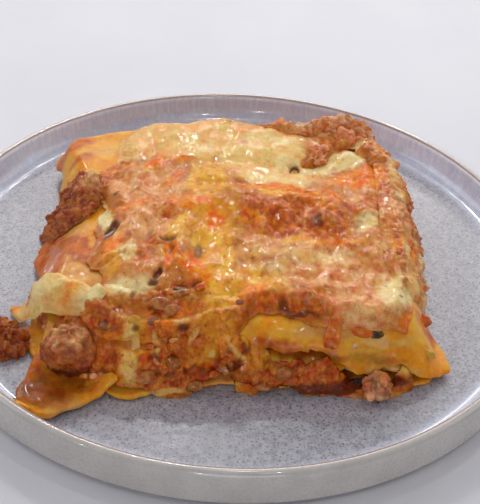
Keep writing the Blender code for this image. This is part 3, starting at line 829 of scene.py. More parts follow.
def baked_nodes():
    """Tan cheese; pink, yellow, gold, orange, brown and cream areas in turn, pale film and meat
    in small flecks, the mince's lumps showing through, then dark bits with painted shade in holes,
    gaps and under the front lip, painted shade in hollows and on steep sides, and herbs. All but
    the finest grain is drawn out from front to back."""
    place = object_place(baked)
    where = drawn_out(baked, place, (1.0, PATTERN_DRAWN_OUT, 1.0))
    now = mottled(baked, where, 4.0, "#bd681b", "#d28332")
    for name, size, seed, most, patch, first, second in (
            ("pink", 5.0, 2.0, 0.8, 2.6, "#e38848", "#f6bc7e"),
            ("yellow", 6.0, 3.0, 0.92, 7.0, "#f6b462", "#f6d381"),
            ("gold", 5.0, 3.5, 0.95, 5.0, "#e69720", "#f6b738"),
            ("orange", 4.0, 4.0, 0.95, 2.4, "#ef6c02", "#f6940e"),
            ("brown", 3.2, 5.0, 0.92, 2.2, "#b14708", "#df7417"),
            ("cream", 4.0, 6.0, 0.9, 6.0, "#f6d486", "#f6e0a2")):
        now = mixed(baked, frayed(baked, name, where, size, seed, most), now,
                    mottled(baked, where, patch, first, second, seed))
    thin = ramped(baked, attribute(baked, "yellow"), 0.3, 0.9, 1.0, 0.25)
    for seed, size, most, tint in ((25.0, 3.4, 0.34, "#f6c273"), (23.0, 2.4, 0.5, "#a64e17")):
        fleck = ramped(baked, grain(baked, where, size, 4.0, 0.62, seed), 0.52, 0.66, 0.0, most)
        fleck = add_node(baked, "ShaderNodeMath", (0, fleck), (1, thin), operation="MULTIPLY")
        now = mixed(baked, fleck, now, colour(tint))
    now = tinted(baked, now, attribute(baked, "lump"), 0.25, 0.8, 0.6,
                 mottled(baked, where, 1.6, "#be6727", "#f0af67", 21.0))
    # Dark bits, with painted shade in the holes, the gaps and under the front lip.
    now = mixed(baked, frayed(baked, "dark", where, 1.4, 7.0, 0.78), now, colour("#5c240a"))
    # Painted shade in the hollows and in the creases between lumps.
    now = tinted(baked, now, attribute(baked, "hollow_shade"), 0.1, 0.7, 0.8, colour("#6c2c0a"))
    # Painted shade that darkens the flows' steep sides.
    now = mixed(baked, attribute(baked, "steep_side_shade"), now, colour("#f2d49c"), "MULTIPLY")
    now = tinted(baked, now, grain(baked, where, 2.0, 2.0, 0.5, 9.0), 0.66, 0.74, 0.4,
                 colour("#6d4a22"))
    finish_food(baked, now, place, 0.10, (0.45, 0.62), 2.2, 0.2)


baked_nodes()
crust_points, crust_faces, crust_values = crust_body()
crust = add_piece("baked_cheese_crust", crust_points, crust_faces, **crust_values)
crust.data.materials.append(baked)
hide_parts("cheese_crust")

# ----------------------------------------------
# The mince layers and the pasta sheets under the crust: boiled durum-wheat sheets, soft and
# glossy with oil, and minced meat in tomato sauce. Each is rings out over its rounded edge; the
# mince's side is raised into lumps, the sheets' edges ripple.
# ----------------------------------------------


def layer_rings(name, under, seed, around=900):
    """Rings from the middle out over the layer's top, round its edge and back underneath.

    The edge is a half circle of the layer's own thickness, and its outline wavers by its fray.
    """
    edge, fray = LAYERS[name]["edge"], LAYERS[name]["fray"]
    angle = np.arange(around) * 2.0 * np.pi / around
    at_edge = 62.0 * flat_place(np.cos(angle), np.sin(angle))
    out = outline(name, angle) + fray * (1.2 * hills(at_edge, 11.0, seed + 1)
                                         + 0.8 * rough(at_edge, 4.0, seed + 2, 2))

    def ring(inward, share):
        x, y = plan_point(out - edge - inward, angle)
        return np.stack([x, y, level(under, x, y) + share * thickness(name, x, y)], axis=-1)

    above = np.concatenate([np.linspace(46.0, 18.0, 5), np.linspace(14.0, 0.0, 24)])
    turns = np.linspace(0.0, np.pi, 15)[1:-1]
    beneath = [0.0, 1.0, 2.5, 5.0, 9.0, 16.0, 40.0]
    rings = ([ring(inward, 1.0) for inward in above]
             + [ring(-edge * math.sin(turn), (1.0 + math.cos(turn)) / 2.0) for turn in turns]
             + [ring(inward, 0.0) for inward in beneath])
    far_in = np.concatenate([above, 0.0 * turns, beneath])
    return np.array(rings), smooth_step(1.0 - far_in / 13.0)[:, None]


# Fried mince is opaque meat with a fatty, shiny sauce between its lumps.
meat = new_food("minced_beef_in_oily_tomato_sauce", 0.12, 0.0015, (1.0, 0.4, 0.2))


def meat_nodes():
    """Browned meat, grey-brown to pink, in orange sauce, with painted shade darkening the
    creases.
    """
    where = object_place(meat)
    now = mottled(meat, where, 4.0, "#e78453", "#f6b67f")
    now = tinted(meat, now, attribute(meat, "pick"), 0.4, 0.9, 0.75,
                 mottled(meat, where, 2.0, "#e79e6a", "#f6d4a2", 2.0))
    now = tinted(meat, now, grain(meat, where, 6.0, 2.0, 0.5, 3.0), 0.54, 0.66, 0.7,
                 colour("#da781c"))
    # Painted shade in the creases between lumps.
    now = tinted(meat, now, attribute(meat, "crease"), 0.2, 0.9, 0.8, colour("#6d2c0e"))
    finish_food(meat, now, where, 0.22, (0.4, 0.6), 1.0, 0.35)


meat_nodes()

# Boiled pasta lets light in deeply and its oil lies on it as a smooth wet coat.
pasta = new_food("boiled_egg_pasta_sheet_with_oil", 0.3, 0.003, (1.0, 0.5, 0.18))


def pasta_nodes():
    """Golden dough in soft clouds, with orange oil stains, tan cheese film and brown painted
    shade.
    """
    where = object_place(pasta)
    now = mottled(pasta, where, 9.0, "#f0981a", "#f8b43c")
    for name, seed, first, second in (("tan", 2.0, "#dc9a4c", "#ecb060"),
                                      ("stain", 3.0, "#b44a00", "#d46802"),
                                      ("shade", 4.0, "#8c4406", "#b46212")):
        now = mixed(pasta, frayed(pasta, name, where, 6.0, seed, 0.9), now,
                    mottled(pasta, where, 5.0, first, second, seed))
    finish_food(pasta, now, where, 0.06, (0.3, 0.5), 3.0, 0.3)


pasta_nodes()
# Ovals seen from above, and from the front as (x, z), where the front face is covered.
SHEET_ABOVE = {
    "stain": (
        (-66, -14, 20, 4.0, 101, 2.0), (-57, -19, 15, 3.4, -50, 2.4), (-66, 48, 9, 5, 20, 0.8),
        (-60, 36, 6, 3, 30, 0.6), (64, -20, 20, 2.6, 88, 0.7), (-66, -62, 16, 4, 110, 0.9),
        (-52, -72, 10, 4, 10, 0.6), (66, -40, 8, 4, 60, 0.6),
    ),
    "tan": (
        (-52, -36, 10, 8, -60, 1.3), (-58, -8, 7, 4, -50, 0.9), (-56, 40, 9, 5, 20, 0.6),
        (-58, -77, 13, 4.0, -12, 1.3),
    ),
    # Painted shade on the flap, which lies in the slice's shadow.
    "shade": ((-51, -67, 8, 3.6, 10, 0.9), (-58, -71, 16, 9, 30, 0.75)),
}
SHEET_FRONT = {
    "stain": (
        (14, 20, 9, 2.4, 0, 0.8), (30, 18, 6, 2, 0, 0.5), (50, 19, 10, 2.0, -4, 0.3),
        (66, 15, 3, 4, 0, 0.4), (-2, 12, 6, 4, 40, 0.6),
    ),
    "tan": (
        (30, 24, 10, 2.0, 0, 0.7), (54, 21, 9, 1.4, -4, 0.6), (0, 8, 10, 1.4, 0, 0.8),
        (52, 12, 9, 1.6, 0, 0.7),
    ),
    # Painted shade on the front sheets' low folds.
    "shade": ((22, 17, 18, 2.0, 0, 0.7), (46, 16.5, 13, 2.0, -4, 0.45), (36, 8.5, 12, 2.2, 0, 0.9)),
}


def sheet_shares(points):
    """Shares of stain, tan and painted shade: from above, and from in front on the front face."""
    x, y, z = points[..., 0], points[..., 1], points[..., 2]
    front = smooth_step((-50.0 - y) / 6.0)
    above, ahead = painted(SHEET_ABOVE, x, y), painted(SHEET_FRONT, x, z, 4.0, 0.5)
    return {key: np.maximum(above[key], front * ahead[key]) for key in above}


EDGE_ROWS = slice(24, 40)  # a layer's rings over its rounded edge and most of the way down
sites = []  # where loose grains of mince go: points, and how large the grains may be
site_rng = np.random.default_rng(77)


def pick_sites(points, count, small, large):
    """Chooses `count` of the points at random as places for grains of small to large radius."""
    points = points.reshape(-1, 3)
    chosen = points[site_rng.integers(0, len(points), count)]
    sites.append(np.column_stack([chosen, site_rng.uniform(small, large, count)]))


def unit_normals(grid, closed=False):
    """Unit normals of a grid (rows, columns, 3) from its slopes; closed joins the columns."""
    across = ((np.roll(grid, -1, axis=1) - np.roll(grid, 1, axis=1)) / 2.0 if closed
              else np.gradient(grid, axis=1))
    normal = np.cross(np.gradient(grid, axis=0), across)
    return normal / (np.linalg.norm(normal, axis=-1, keepdims=True) + 1e-9)


def minced(points, seed):
    """Minced meat's relief: rounded lumps 3.8 and 2 mm apart, no two of a height, and crumbs.

    Returns the height, the share of crease between lumps, and a random number for each lump.
    """
    bent = points + 1.3 * np.stack([hills(points, 6.0, seed + n) for n in range(3)], axis=-1)
    bent = bent + 0.5 * np.stack([hills(points, 2.4, seed + n) for n in range(3, 6)], axis=-1)
    near, pick = grains(bent, 4.0, seed + 6)
    near_small, pick_small = grains(bent, 2.1, seed + 7)
    height = (1.9 * np.exp(-((near / 0.52) ** 2)) * (0.35 + 0.8 * pick)
              + 0.95 * np.exp(-((near_small / 0.5) ** 2)) * (0.3 + 0.8 * pick_small)
              + 0.22 * rough(points, 1.3, seed + 8, 2) - 0.9)
    return height, np.clip(-0.1 - 0.9 * height, 0.0, 1.0), pick


below = None
for number, layer_name in enumerate(list(LAYERS)[:-1]):
    is_pasta = layer_name.startswith("pasta")
    rings, shown = layer_rings(layer_name, below, 50 + 10 * number)
    normals = unit_normals(rings, True)
    if is_pasta:
        ripple = 0.4 * hills(rings, 8.0, 81 + number) + 0.12 * hills(rings, 3.0, 85 + number)
        ripple = ripple * (1.0 + swell(((-60, -73, 2.4, 16, 9),), rings[..., 0], rings[..., 1]))
        rings = rings + normals * (shown * ripple)[..., None]
        piece = add_rings(layer_name + "_sheet", rings, **sheet_shares(rings))
    else:
        lump, crease, pick = minced(rings, 90 + 10 * number)
        rings = rings + normals * (shown * lump)[..., None]
        piece = add_rings(layer_name + "_layer", rings, crease=crease, pick=pick)
        pick_sites(rings[EDGE_ROWS], 190, 0.9, 2.0)
    piece.data.materials.append(pasta if is_pasta else meat)
    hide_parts(layer_name)
    below = layer_name

# ----------------------------------------------
# Cheese and mince that ran down the cut sides as the slice was lifted out: down the front left
# corner to the plate, down the right side, over the back and between the lower sheets. Each is a
# skin on the layers' slope, thin at its edges, with mince standing through melted cheese.
# ----------------------------------------------


def add_patch(name, top, bottom, kept, **values):
    """A closed skin from two grids (rows, columns, 3): the kept squares of the top, the same of
    the bottom turned over, and a wall along every edge that only one kept square has."""
    rows, columns = top.shape[:2]
    index = np.arange(rows * columns).reshape(rows, columns)
    quads = corners_of(index)[kept]
    edges = np.concatenate([quads[:, [side, (side + 1) % 4]] for side in range(4)])
    there = {tuple(edge) for edge in edges.tolist()}
    under = rows * columns
    walls = [(b, a, a + under, b + under) for a, b in there if (b, a) not in there]
    faces = np.concatenate([quads, quads[:, ::-1] + under, np.array(sorted(walls))])
    used, faces = np.unique(faces, return_inverse=True)
    points = np.concatenate([top.reshape(-1, 3), bottom.reshape(-1, 3)])[used]
    both = {key: np.tile(numbers.ravel(), 2)[used] for key, numbers in values.items()}
    return add_piece(name, points, faces.reshape(-1, 4).tolist(), **both)


def flow(name, way):
    """A skin over the slope, as thick as its mask allows, with minced lumps along its normals.

    Where the food is level it is `flat` times as thick. On the slope its ovals, seen from
    way["side"], give the baked cheese's shares, and its level top keeps the crust's own. Painted
    shade darkens its steep side, as far as its way's share of it says.
    """
    thick, seed, flat = way["thick"], way["seed"], way["flat"]
    x, y = np.meshgrid(np.arange(*way["x_range"], way["step"]),
                       np.arange(*way["y_range"], way["step"]), indexing="xy")
    mask = smooth_step((painted({"mask": way["mask"]}, x, y, 5.0, 0.8)["mask"] - 0.15) / 0.5)
    surface = np.stack([x, y, drape(x, y)], axis=-1)
    normals = unit_normals(surface)
    normals = normals * np.sign(normals[..., 2:])
    seen = {"front": (x, surface[..., 2]), "right": (y, surface[..., 2]), "above": (x, y)}
    steep = smooth_step((0.95 - normals[..., 2]) / 0.25)
    over = 1.0 if flat == 1.0 else steep
    own = painted(way["ovals"], *seen[way["side"]], 4.0, 0.6)
    shares = {key: share * (1.0 - over) + over * own[key]
              for key, share in painted(CRUST, x, y, 4.0, 0.8).items()}
    lump, crease, _ = minced(surface, seed)
    lumpy = np.clip(0.55 + 0.6 * shares["brown"] - 0.6 * shares["cream"] - 0.3 * shares["yellow"],
                    0.15, 1.0)
    height = (thick + 1.1 * rough(surface, 8.0, seed + 20, 2) + way["lumps"] * lumpy * lump
              + 0.3 * rough(surface, 2.0, seed + 30, 2)
              + 0.5 * shares["cream"]) * (flat + (1.0 - flat) * steep)
    height = height + swell(way.get("ridge", ()), x, y)
    height = mask * np.maximum(height, 0.25) - 0.7 * (1.0 - mask)
    top = surface + normals * height[..., None]
    bottom = surface - normals * FLOW_SUNK
    top[..., 2] = np.maximum(top[..., 2], FLOOR + 0.15)
    bottom[..., 2] = np.maximum(bottom[..., 2], FLOOR + 0.05)
    # Painted shade in the creases between the lumps.
    shares["hollow_shade"] = np.clip(crease * (0.2 + lumpy), 0.0, 1.0)
    shares["lump"] = lumpy * smooth_step(0.5 + 0.5 * lump)
    # Painted shade that darkens the steep side.
    shares["steep_side_shade"] = way.get("steep_side_shade", 0.0) * over * np.ones_like(x)
    made = add_patch(name, top, bottom, corners_of(mask).max(axis=-1) > 0.04, **shares)
    made.data.materials.append(baked)
    if "grains" in way:
        least, *grains_wanted = way["grains"]
        pick_sites(top[(mask > 0.8) & (shares["brown"] > least)], *grains_wanted)


FLOW_SUNK = 1.3  # how far the skins' undersides lie inside the food
# The mask is seen from above; `grains` gives the least brown where they stand, how many, and
# their smallest and largest radius. The front and the sauce between the sheets have painted shade
# on their steep sides.
FLOWS = {
    "cheese_and_mince_down_the_front": dict(
        side="front", x_range=(-60.0, 16.0), y_range=(-78.0, -44.0), step=0.26, thick=1.8,
        lumps=1.6, seed=201, flat=0.15, steep_side_shade=0.85, grains=(0.45, 8, 0.8, 1.4),
        mask=(
            (-40, -57, 15, 10.5, 0, 1.0), (-22, -57, 16, 10.5, 0, 1.0), (-6, -54, 9, 6, 0, 0.9),
            (-34, -65, 12, 4.0, 0, 0.9), (-10, -59, 7, 4, -30, 0.7), (3, -61.8, 8, 2.6, -15, 0.9),
        ),
        ovals=dict(
            yellow=((-35, 24, 5, 2, 0, 0.6),),
            gold=(
                (-38, 13, 6, 4, -20, 0.9), (-6, 24, 8, 4, 0, 0.9), (-46, 9, 6, 3, 0, 0.8),
                (-20, 8, 7, 2, 0, 0.9), (-14, 16, 9, 6, 30, 1.1), (4, 17, 7, 6, 40, 1.1),
                (-30, 19, 8, 5, 0, 0.9), (-26, 24, 5, 3, 0, 0.7),
            ),
            cream=(
                (-32, 17, 2.2, 8, 4, 1.0), (-22, 6.6, 9, 1.1, 0, 0.9), (-16, 26, 3, 1.2, 0, 0.7),
                (-38, 7, 4, 1.1, 0, 0.8), (-24, 20, 1.2, 3, 20, 0.6), (-12, 22, 1.0, 3, -20, 0.6),
                (2, 19, 1.0, 5, 50, 0.7), (-46, 17, 1.2, 4, 30, 0.5),
            ),
            orange=(
                (-26, 17, 3, 2, 0, 0.8), (-38, 19, 3, 2, 0, 0.7), (-8, 12, 4, 2.4, 40, 0.7),
                (-20, 25, 3, 2, 0, 0.7), (-50, 15, 3, 3, 0, 0.7), (-3, 18, 3, 2, 60, 0.6),
                (-28, 10, 4, 2, 0, 0.7), (-14, 9, 3, 1.6, 0, 0.6),
            ),
            brown=(
                (-20, 16, 6, 4, 0, 1.1), (-27, 12, 4, 4, 0, 0.9), (-12, 21, 4, 2.4, 0, 0.8),
                (-37, 23, 3, 2.4, 0, 0.8), (-24, 22, 4, 2, 0, 0.7), (-12, 10, 8, 3, 0, 1.1),
                (-38, 15, 3, 4, 0, 0.7), (-4, 10, 6, 3, 0, 1.0), (-30, 7, 8, 2, 0, 0.9),
                (-44, 22, 3, 2, 0, 0.7), (6, 11, 6, 3, 0, 1.0), (0, 16, 6, 3.5, 40, 1.2),
                (-42, 12, 5, 3, 0, 1.0),
            ),
            pink=(
                (-24, 20, 4, 3, 0, 0.7), (-34, 9, 5, 2, 0, 0.5), (-16, 18, 4, 4, 0, 0.5),
                (-46, 21, 5, 3, 0, 0.8), (-8, 16, 4, 3, 0, 0.5),
            ),
            # Dark mince, and painted shade in the gaps between lumps.
            dark=(
                (-15, 24, 1.6, 1.0, 0, 0.8), (-27, 6.5, 3, 0.8, 0, 0.8), (-19, 12, 2, 1, 0, 0.6),
                (-9, 7, 5, 1.2, 0, 0.9), (-31, 22.5, 1.4, 1, 0, 0.6), (-23, 13, 1.6, 1, 0, 0.6),
                (-36, 11, 1.4, 1, 0, 0.6), (-6, 13, 2, 0.9, 20, 0.6), (4, 8, 4, 1.2, 0, 0.8),
                (0, 14, 4, 1.4, 40, 0.9),
            ),
        ),
    ),
    "cheese_and_mince_down_the_right": dict(
        side="right", x_range=(50.0, 70.0), y_range=(-46.0, 66.0), step=0.28, thick=1.4,
        lumps=1.1, seed=231, flat=0.15, grains=(0.35, 24, 0.8, 1.5),
        mask=((59, 6, 8, 34, 0, 1.0), (59, -24, 7, 12, 0, 0.9), (56, 44, 8, 16, 0, 1.0)),
        ovals=dict(
            yellow=((-30, 24, 8, 3, 0, 0.8), (-34, 14, 14, 4, 0, 0.9), (30, 28, 8, 3, 0, 0.5)),
            gold=((-14, 26, 6, 4, 0, 0.7), (20, 24, 6, 4, 0, 0.6)),
            cream=(
                (-5, 13, 8, 3, 0, 1.0), (-14, 28, 5, 2, 0, 0.5), (18, 27, 5, 2, 0, 0.5),
                (-40, 27, 6, 3, 0, 0.6),
            ),
            orange=(
                (-12, 22, 5, 5, 0, 1.0), (14, 20, 6, 5, 0, 0.7), (-48, 24, 5, 3, 0, 0.8),
                (34, 22, 6, 5, 0, 0.9), (0, 16, 5, 4, 0, 0.6), (48, 24, 5, 5, 0, 0.8),
            ),
            brown=(
                (4, 22, 6, 3, 0, 0.6), (24, 17, 7, 4, 0, 0.7), (-22, 18, 6, 3, 0, 0.6),
                (42, 17, 6, 5, 0, 0.7), (-4, 11, 14, 3, 0, 0.7),
            ),
            pink=(
                (8, 26, 16, 5, 0, 1.0), (28, 26, 10, 5, 0, 0.9), (-10, 19, 16, 5, 0, 0.9),
                (-26, 26, 8, 3, 0, 0.8), (44, 26, 8, 5, 0, 0.8),
            ),
            dark=(
                (10, 21, 2, 1.2, 0, 0.6), (-2, 19, 2, 1.2, 0, 0.6), (26, 22, 2, 1.4, 0, 0.6),
                (-18, 14, 4, 1.2, 0, 0.7), (38, 14, 3, 1.5, 0, 0.6),
            ),
        ),
    ),
    "mince_over_the_back": dict(
        side="above", x_range=(4.0, 66.0), y_range=(28.0, 72.0), step=0.28, thick=1.9,
        lumps=1.9, seed=261, flat=1.0, grains=(0.3, 60, 1.0, 2.4),
        ridge=((44, 60, 3.6, 8, 5), (24, 60, 1.5, 10, 4)),
        mask=(
            (44, 56, 13, 8, 0, 1.0), (26, 59, 15, 5.5, 0, 1.0), (53, 44, 7, 9, 0, 0.9),
            (30, 39, 7, 3.4, 50, 0.9), (37, 48, 7, 4, 50, 0.9),
        ),
        ovals=dict(
            yellow=(),
            gold=((40, 47, 3, 2, 0, 0.6),),
            dark=((50, 50, 2, 1, 30, 0.6),),
            cream=((46, 46, 5, 2.0, 30, 0.7), (56, 40, 3, 2, 60, 0.5)),
            orange=(
                (16, 61, 6, 4, 0, 1.2), (46, 62, 6, 4, 0, 1.0), (30, 41, 5, 3, 50, 0.8),
                (55, 50, 5, 4, 60, 0.9),
            ),
            brown=(
                (34, 58, 8, 3, 0, 0.35), (52, 60, 5, 3, 0, 0.4), (44, 50, 6, 3, 20, 0.5),
                (28, 38, 5, 3, 50, 0.8),
            ),
            pink=((28, 57, 10, 6, 0, 1.4), (42, 56, 10, 6, 0, 1.4), (54, 46, 5, 9, 0, 1.2)),
        ),
    ),
    "sauce_between_the_sheets": dict(
        side="front", x_range=(2.0, 68.0), y_range=(-72.0, -60.0), step=0.22, thick=0.5,
        lumps=2.2, seed=291, flat=0.5, steep_side_shade=1.0,
        mask=(
            (30, -64.5, 14, 1.5, 0, 1.2), (50, -63.5, 7.5, 1.4, 10, 1.1), (12, -65, 9, 1.2, 0, 1.0),
            (42, -64.3, 8, 1.5, 0, 1.1),
        ),
        ovals=dict(
            yellow=(),
            gold=((8, 7, 9, 2, 0, 1.2), (56, 12, 8, 2, 0, 0.9)),
            cream=((54, 13, 6, 1.4, 0, 0.7), (-2, 8, 6, 1.2, 0, 0.6)),
            pink=((40, 13, 6, 2, 0, 0.6),),
            orange=(
                (20, 9, 5, 3, 0, 0.8), (62, 13, 3, 3, 0, 0.9), (32, 7, 3, 2, 0, 1.0),
                (47, 7, 3, 1.6, 0, 0.9),
            ),
            brown=((30, 12, 12, 5, 0, 1.4), (44, 9, 10, 4, 0, 1.3), (14, 10, 8, 3, 0, 1.0)),
            # Painted shade deep in the gap between the sheets.
            dark=((24, 7, 8, 2.0, 0, 1.4), (40, 8, 9, 2.0, 10, 1.5), (52, 9, 5, 1.6, 0, 1.3)),
        ),
    ),
}
for flow_name, flow_way in FLOWS.items():
    flow(flow_name, flow_way)

# ----------------------------------------------
# Loose clumps of fried mince: one burnt dark on the left edge, one browned on the front corner,
# one along the back, one spilt on the plate and a single crumb. Those with a middle are uneven
# balls and the others knobbly domes over what they lie on, all raised into the layers' lumps.
# ----------------------------------------------
CLUMPS = {
    "mince_burnt": dict(on_slice=True, at=(-60.5, 9.0), half=(12.0, 13.5), turn=8, high=7.0,
                        lean=0.0, knobs=0.20, seed=3, charred=True),
    "mince_corner": dict(middle=(-51.0, -61.2, 15.0), half=(9.4, 8.0, 8.6), knobs=0.08, seed=5,
                         charred=True),
    "mince_back": dict(on_slice=True, at=(37.0, 61.0), half=(21.0, 8.0), turn=2, high=10.5,
                       lean=0.6, knobs=0.26, seed=8, charred=False),
    "mince_spill": dict(on_slice=False, at=(-77.8, -48.6), half=(10.5, 9.5), turn=-35, high=6.5,
                        lean=0.0, knobs=0.24, seed=11, charred=True),
    "mince_crumb": dict(middle=(47.5, -65.0, 9.3), half=(4.7, 4.4, 4.0), knobs=0.1, seed=13,
                        charred=False),
}
CLUMP_TOP = 37.8  # no clump's dome is let rise above this
BALL_LIGHTER_ABOVE = 17.5  # the corner's ball is lighter from here up; painted shade darkens it from just below
BALL_SHADED_BELOW = 17.0
CLUMP_LIGHT = {
    "light": ((-49, 15, 9, 6, 30, 1.0), (-48, -8, 5, 5, 0, 0.6), (-70, -2, 5, 5, 0, 0.5)),
}


def full_turn(count, around):
    """The angles of `around` points on each of `count` rings."""
    return np.arange(around)[None] * 2.0 * np.pi / around * np.ones((count, 1))


def knobs(seed, angle, share):
    """Uneven knobs: a few sine waves round and out of a clump, of seeded phase."""
    rng = np.random.default_rng(seed)
    total = np.zeros_like(angle)
    for waves in (2, 3, 5, 7):
        turn, depth = rng.uniform(0, 2 * np.pi, 2)
        total = total + np.sin(waves * angle + turn) * np.cos(waves * share + depth) / waves**0.5
    return total


def clump_rings(clump, around=300, count=56):
    """A dome, height (1 - share^2.2)^0.6, over whatever it rests on, with knobs all over it; a
    clump with a middle is a ball about it instead."""
    angle = full_turn(count, around)
    if "middle" in clump:
        lift = np.linspace(0.04, np.pi - 0.04, count)[:, None] * np.ones((1, around))
        ball = np.stack([np.sin(lift) * np.cos(angle), np.sin(lift) * np.sin(angle),
                         np.cos(lift)], axis=-1)
        ball = ball * (1.0 + clump["knobs"] * knobs(clump["seed"], angle, lift))[..., None]
        return ball * clump["half"] + clump["middle"], count // 2
    turn = math.radians(clump["turn"])
    share = np.linspace(0.02, 1.0, count)[:, None] * np.ones((1, around))
    around_it = 1.0 + 0.6 * clump["knobs"] * knobs(clump["seed"], angle, 1.0)
    wide = clump["half"][0] * share * around_it * np.cos(angle)
    deep = clump["half"][1] * share * around_it * np.sin(angle)
    x = clump["at"][0] + wide * math.cos(turn) - deep * math.sin(turn)
    y = clump["at"][1] + wide * math.sin(turn) + deep * math.cos(turn)
    dome = (1.0 - share**2.2) ** 0.6 * (1.0 + clump["knobs"]
                                        * knobs(clump["seed"], angle, 3.0 * share))
    tall = np.maximum(clump["high"] * dome * (1.0 + clump["lean"] * share * np.cos(angle)), 1.2)
    base = drape(x, y) if clump["on_slice"] else level(None, x, y)
    top = np.stack([x, y, np.minimum(base + tall, CLUMP_TOP)], axis=-1)
    bottom = np.stack([x, y, base], axis=-1)
    rim = [top[-1] * (1.0 - part) + bottom[-1] * part for part in (0.25, 0.5, 0.75)]
    return np.concatenate([top, np.array(rim), bottom[::-3]]), count


# Mince at the oven's hot edge is dry and nearly black; it shines only where fat is left.
charred = new_food("mince_fried_dark_at_the_edge", specular=0.25, coat_roughness=0.15,
                   coat_index=1.4)


def charred_nodes():
    """Dark brown, reddish where it is less burnt and lighter on top of the corner's ball, with
    painted shade making the creases and the ball's underside nearly black.
    """
    where = object_place(charred)
    now = mottled(charred, where, 4.0, "#9a4213", "#c26d2b")
    now = mixed(charred, frayed(charred, "light", where, 4.0, 3.0), now,
                mottled(charred, where, 2.4, "#d38042", "#e8ae72", 2.0))
    now = tinted(charred, now, attribute(charred, "crease"), 0.2, 0.9, 0.85, colour("#4a1a0a"))
    finish_food(charred, now, where, 0.25, (0.45, 0.65), 1.0, 0.4)


charred_nodes()
for clump_name, clump in CLUMPS.items():
    rings, top_rows = clump_rings(clump)
    is_ball = "middle" in clump
    lump, crease, pick = minced(rings, 140 + clump["seed"])
    lump = (0.5 if is_ball else 1.1) * lump + 0.45 * rough(rings, 2.4, 170, 3)
    rings = rings + unit_normals(rings, True) * lump[..., None]
    if clump["charred"]:
        light = painted(CLUMP_LIGHT, rings[..., 0], rings[..., 1])["light"]
        # The corner's ball is lighter on top, and painted shade darkens its underside.
        if is_ball:
            light = 0.42 * smooth_step((rings[..., 2] - BALL_LIGHTER_ABOVE) / 4.5)
            crease = np.maximum(crease, 0.9 * smooth_step((BALL_SHADED_BELOW - rings[..., 2]) / 6.0))
        piece = add_rings(clump_name + "_clump", rings, crease=crease, light=light)
        piece.data.materials.append(charred)
    else:
        if is_ball:
            # The crumb is darker all over.
            crease = 0.5 + 0.5 * crease
        else:
            # The back clump is painted lighter, with weaker crease shade, as painted light.
            crease, pick = 0.35 * crease, 0.7 + 0.3 * pick
        piece = add_rings(clump_name + "_clump", rings, crease=crease, pick=pick)
        piece.data.materials.append(meat)
        pick_sites(rings[4:top_rows], int(0.35 * clump["half"][0] * clump["half"][1]), 0.8, 1.9)
    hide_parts(clump_name)

# ----------------------------------------------
# Grains of mince that stand out of the layers' sides, the flows and the clumps: small torn
# lumps of meat, each an uneven ball with its own brown.
# ----------------------------------------------


def ball_points(rings, around):
    """The unit directions of a ball's rings from pole to pole, and then of its two poles."""
    turn = np.arange(around) * np.pi / (around / 2.0)
    lift = np.linspace(0.0, np.pi, rings + 2)[1:-1]
    ways = np.stack([np.outer(np.sin(lift), np.cos(turn)), np.outer(np.sin(lift), np.sin(turn)),
                     np.outer(np.cos(lift), np.ones(around))], axis=-1).reshape(-1, 3)
    return np.concatenate([ways, [[0.0, 0.0, 1.0], [0.0, 0.0, -1.0]]])


def ball_faces(rings, around, number):
    """The faces of ball_points for the ball of that number among equal ones."""
    start = (rings * around + 2) * number
    return ring_faces(rings, around, start, start + rings * around, start + rings * around + 1)


def add_grains(name, places, seed, rings=7, around=12):
    """Balls at places (x, y, z, radius), stretched, dented, turned at random and half sunk."""
    rng = np.random.default_rng(seed)
    count = len(places)
    ball = ball_points(rings, around)
    turn = np.linalg.qr(rng.normal(size=(count, 3, 3)))[0]
    shape = ball[None] * rng.uniform(0.55, 1.45, (count, 1, 3))
    apart = 40.0 * np.arange(count)[:, None, None]
    dent = 1.0 + 0.4 * hills(shape + apart, 1.3, seed) + 0.15 * hills(shape + apart, 0.6, seed + 1)
    points = np.einsum("nij,nkj->nki", turn, shape * dent[..., None])
    points = places[:, None, :3] + (points - (0.0, 0.0, 0.6)) * places[:, None, 3:]
    faces = [face for number in range(count) for face in ball_faces(rings, around, number)]
    pick = np.repeat(rng.uniform(0.0, 0.6, count), len(ball))
    return add_piece(name, points.reshape(-1, 3), faces, pick=pick, crease=np.zeros_like(pick))


spilt = np.outer(np.linspace(0.0, 1.0, 60), (24.0, 13.0)) + (-84.0, -53.0)
spilt = spilt + site_rng.normal(0.0, 2.6, (60, 2))
pick_sites(np.column_stack([spilt, np.full(60, FLOOR + 1.2)]), 60, 0.9, 2.4)
loose = add_grains("mince_grains", np.concatenate(sites), 301)
loose.data.materials.append(meat)

# ----------------------------------------------
# The tongue: a strip of pasta and cheese pulled out of the left side, lying down to the plate.
# It is one closed strip, thicker along its middle.
# ----------------------------------------------
TONGUE_ROOT = np.array((-41.5, -50.0))
TONGUE_TIP = np.array((-76.0, -32.0))
TONGUE_HALF_WIDTH = 5.4
TONGUE_THICK = 3.4


def bridged(x, y, bridge):
    """The food's surface, taken as the highest of nine places close together."""
    nearby = [drape(x + bridge * across, y + bridge * along)
              for across in (-1, 0, 1) for along in (-1, 0, 1)]
    return np.max(nearby, axis=0) + 0.3


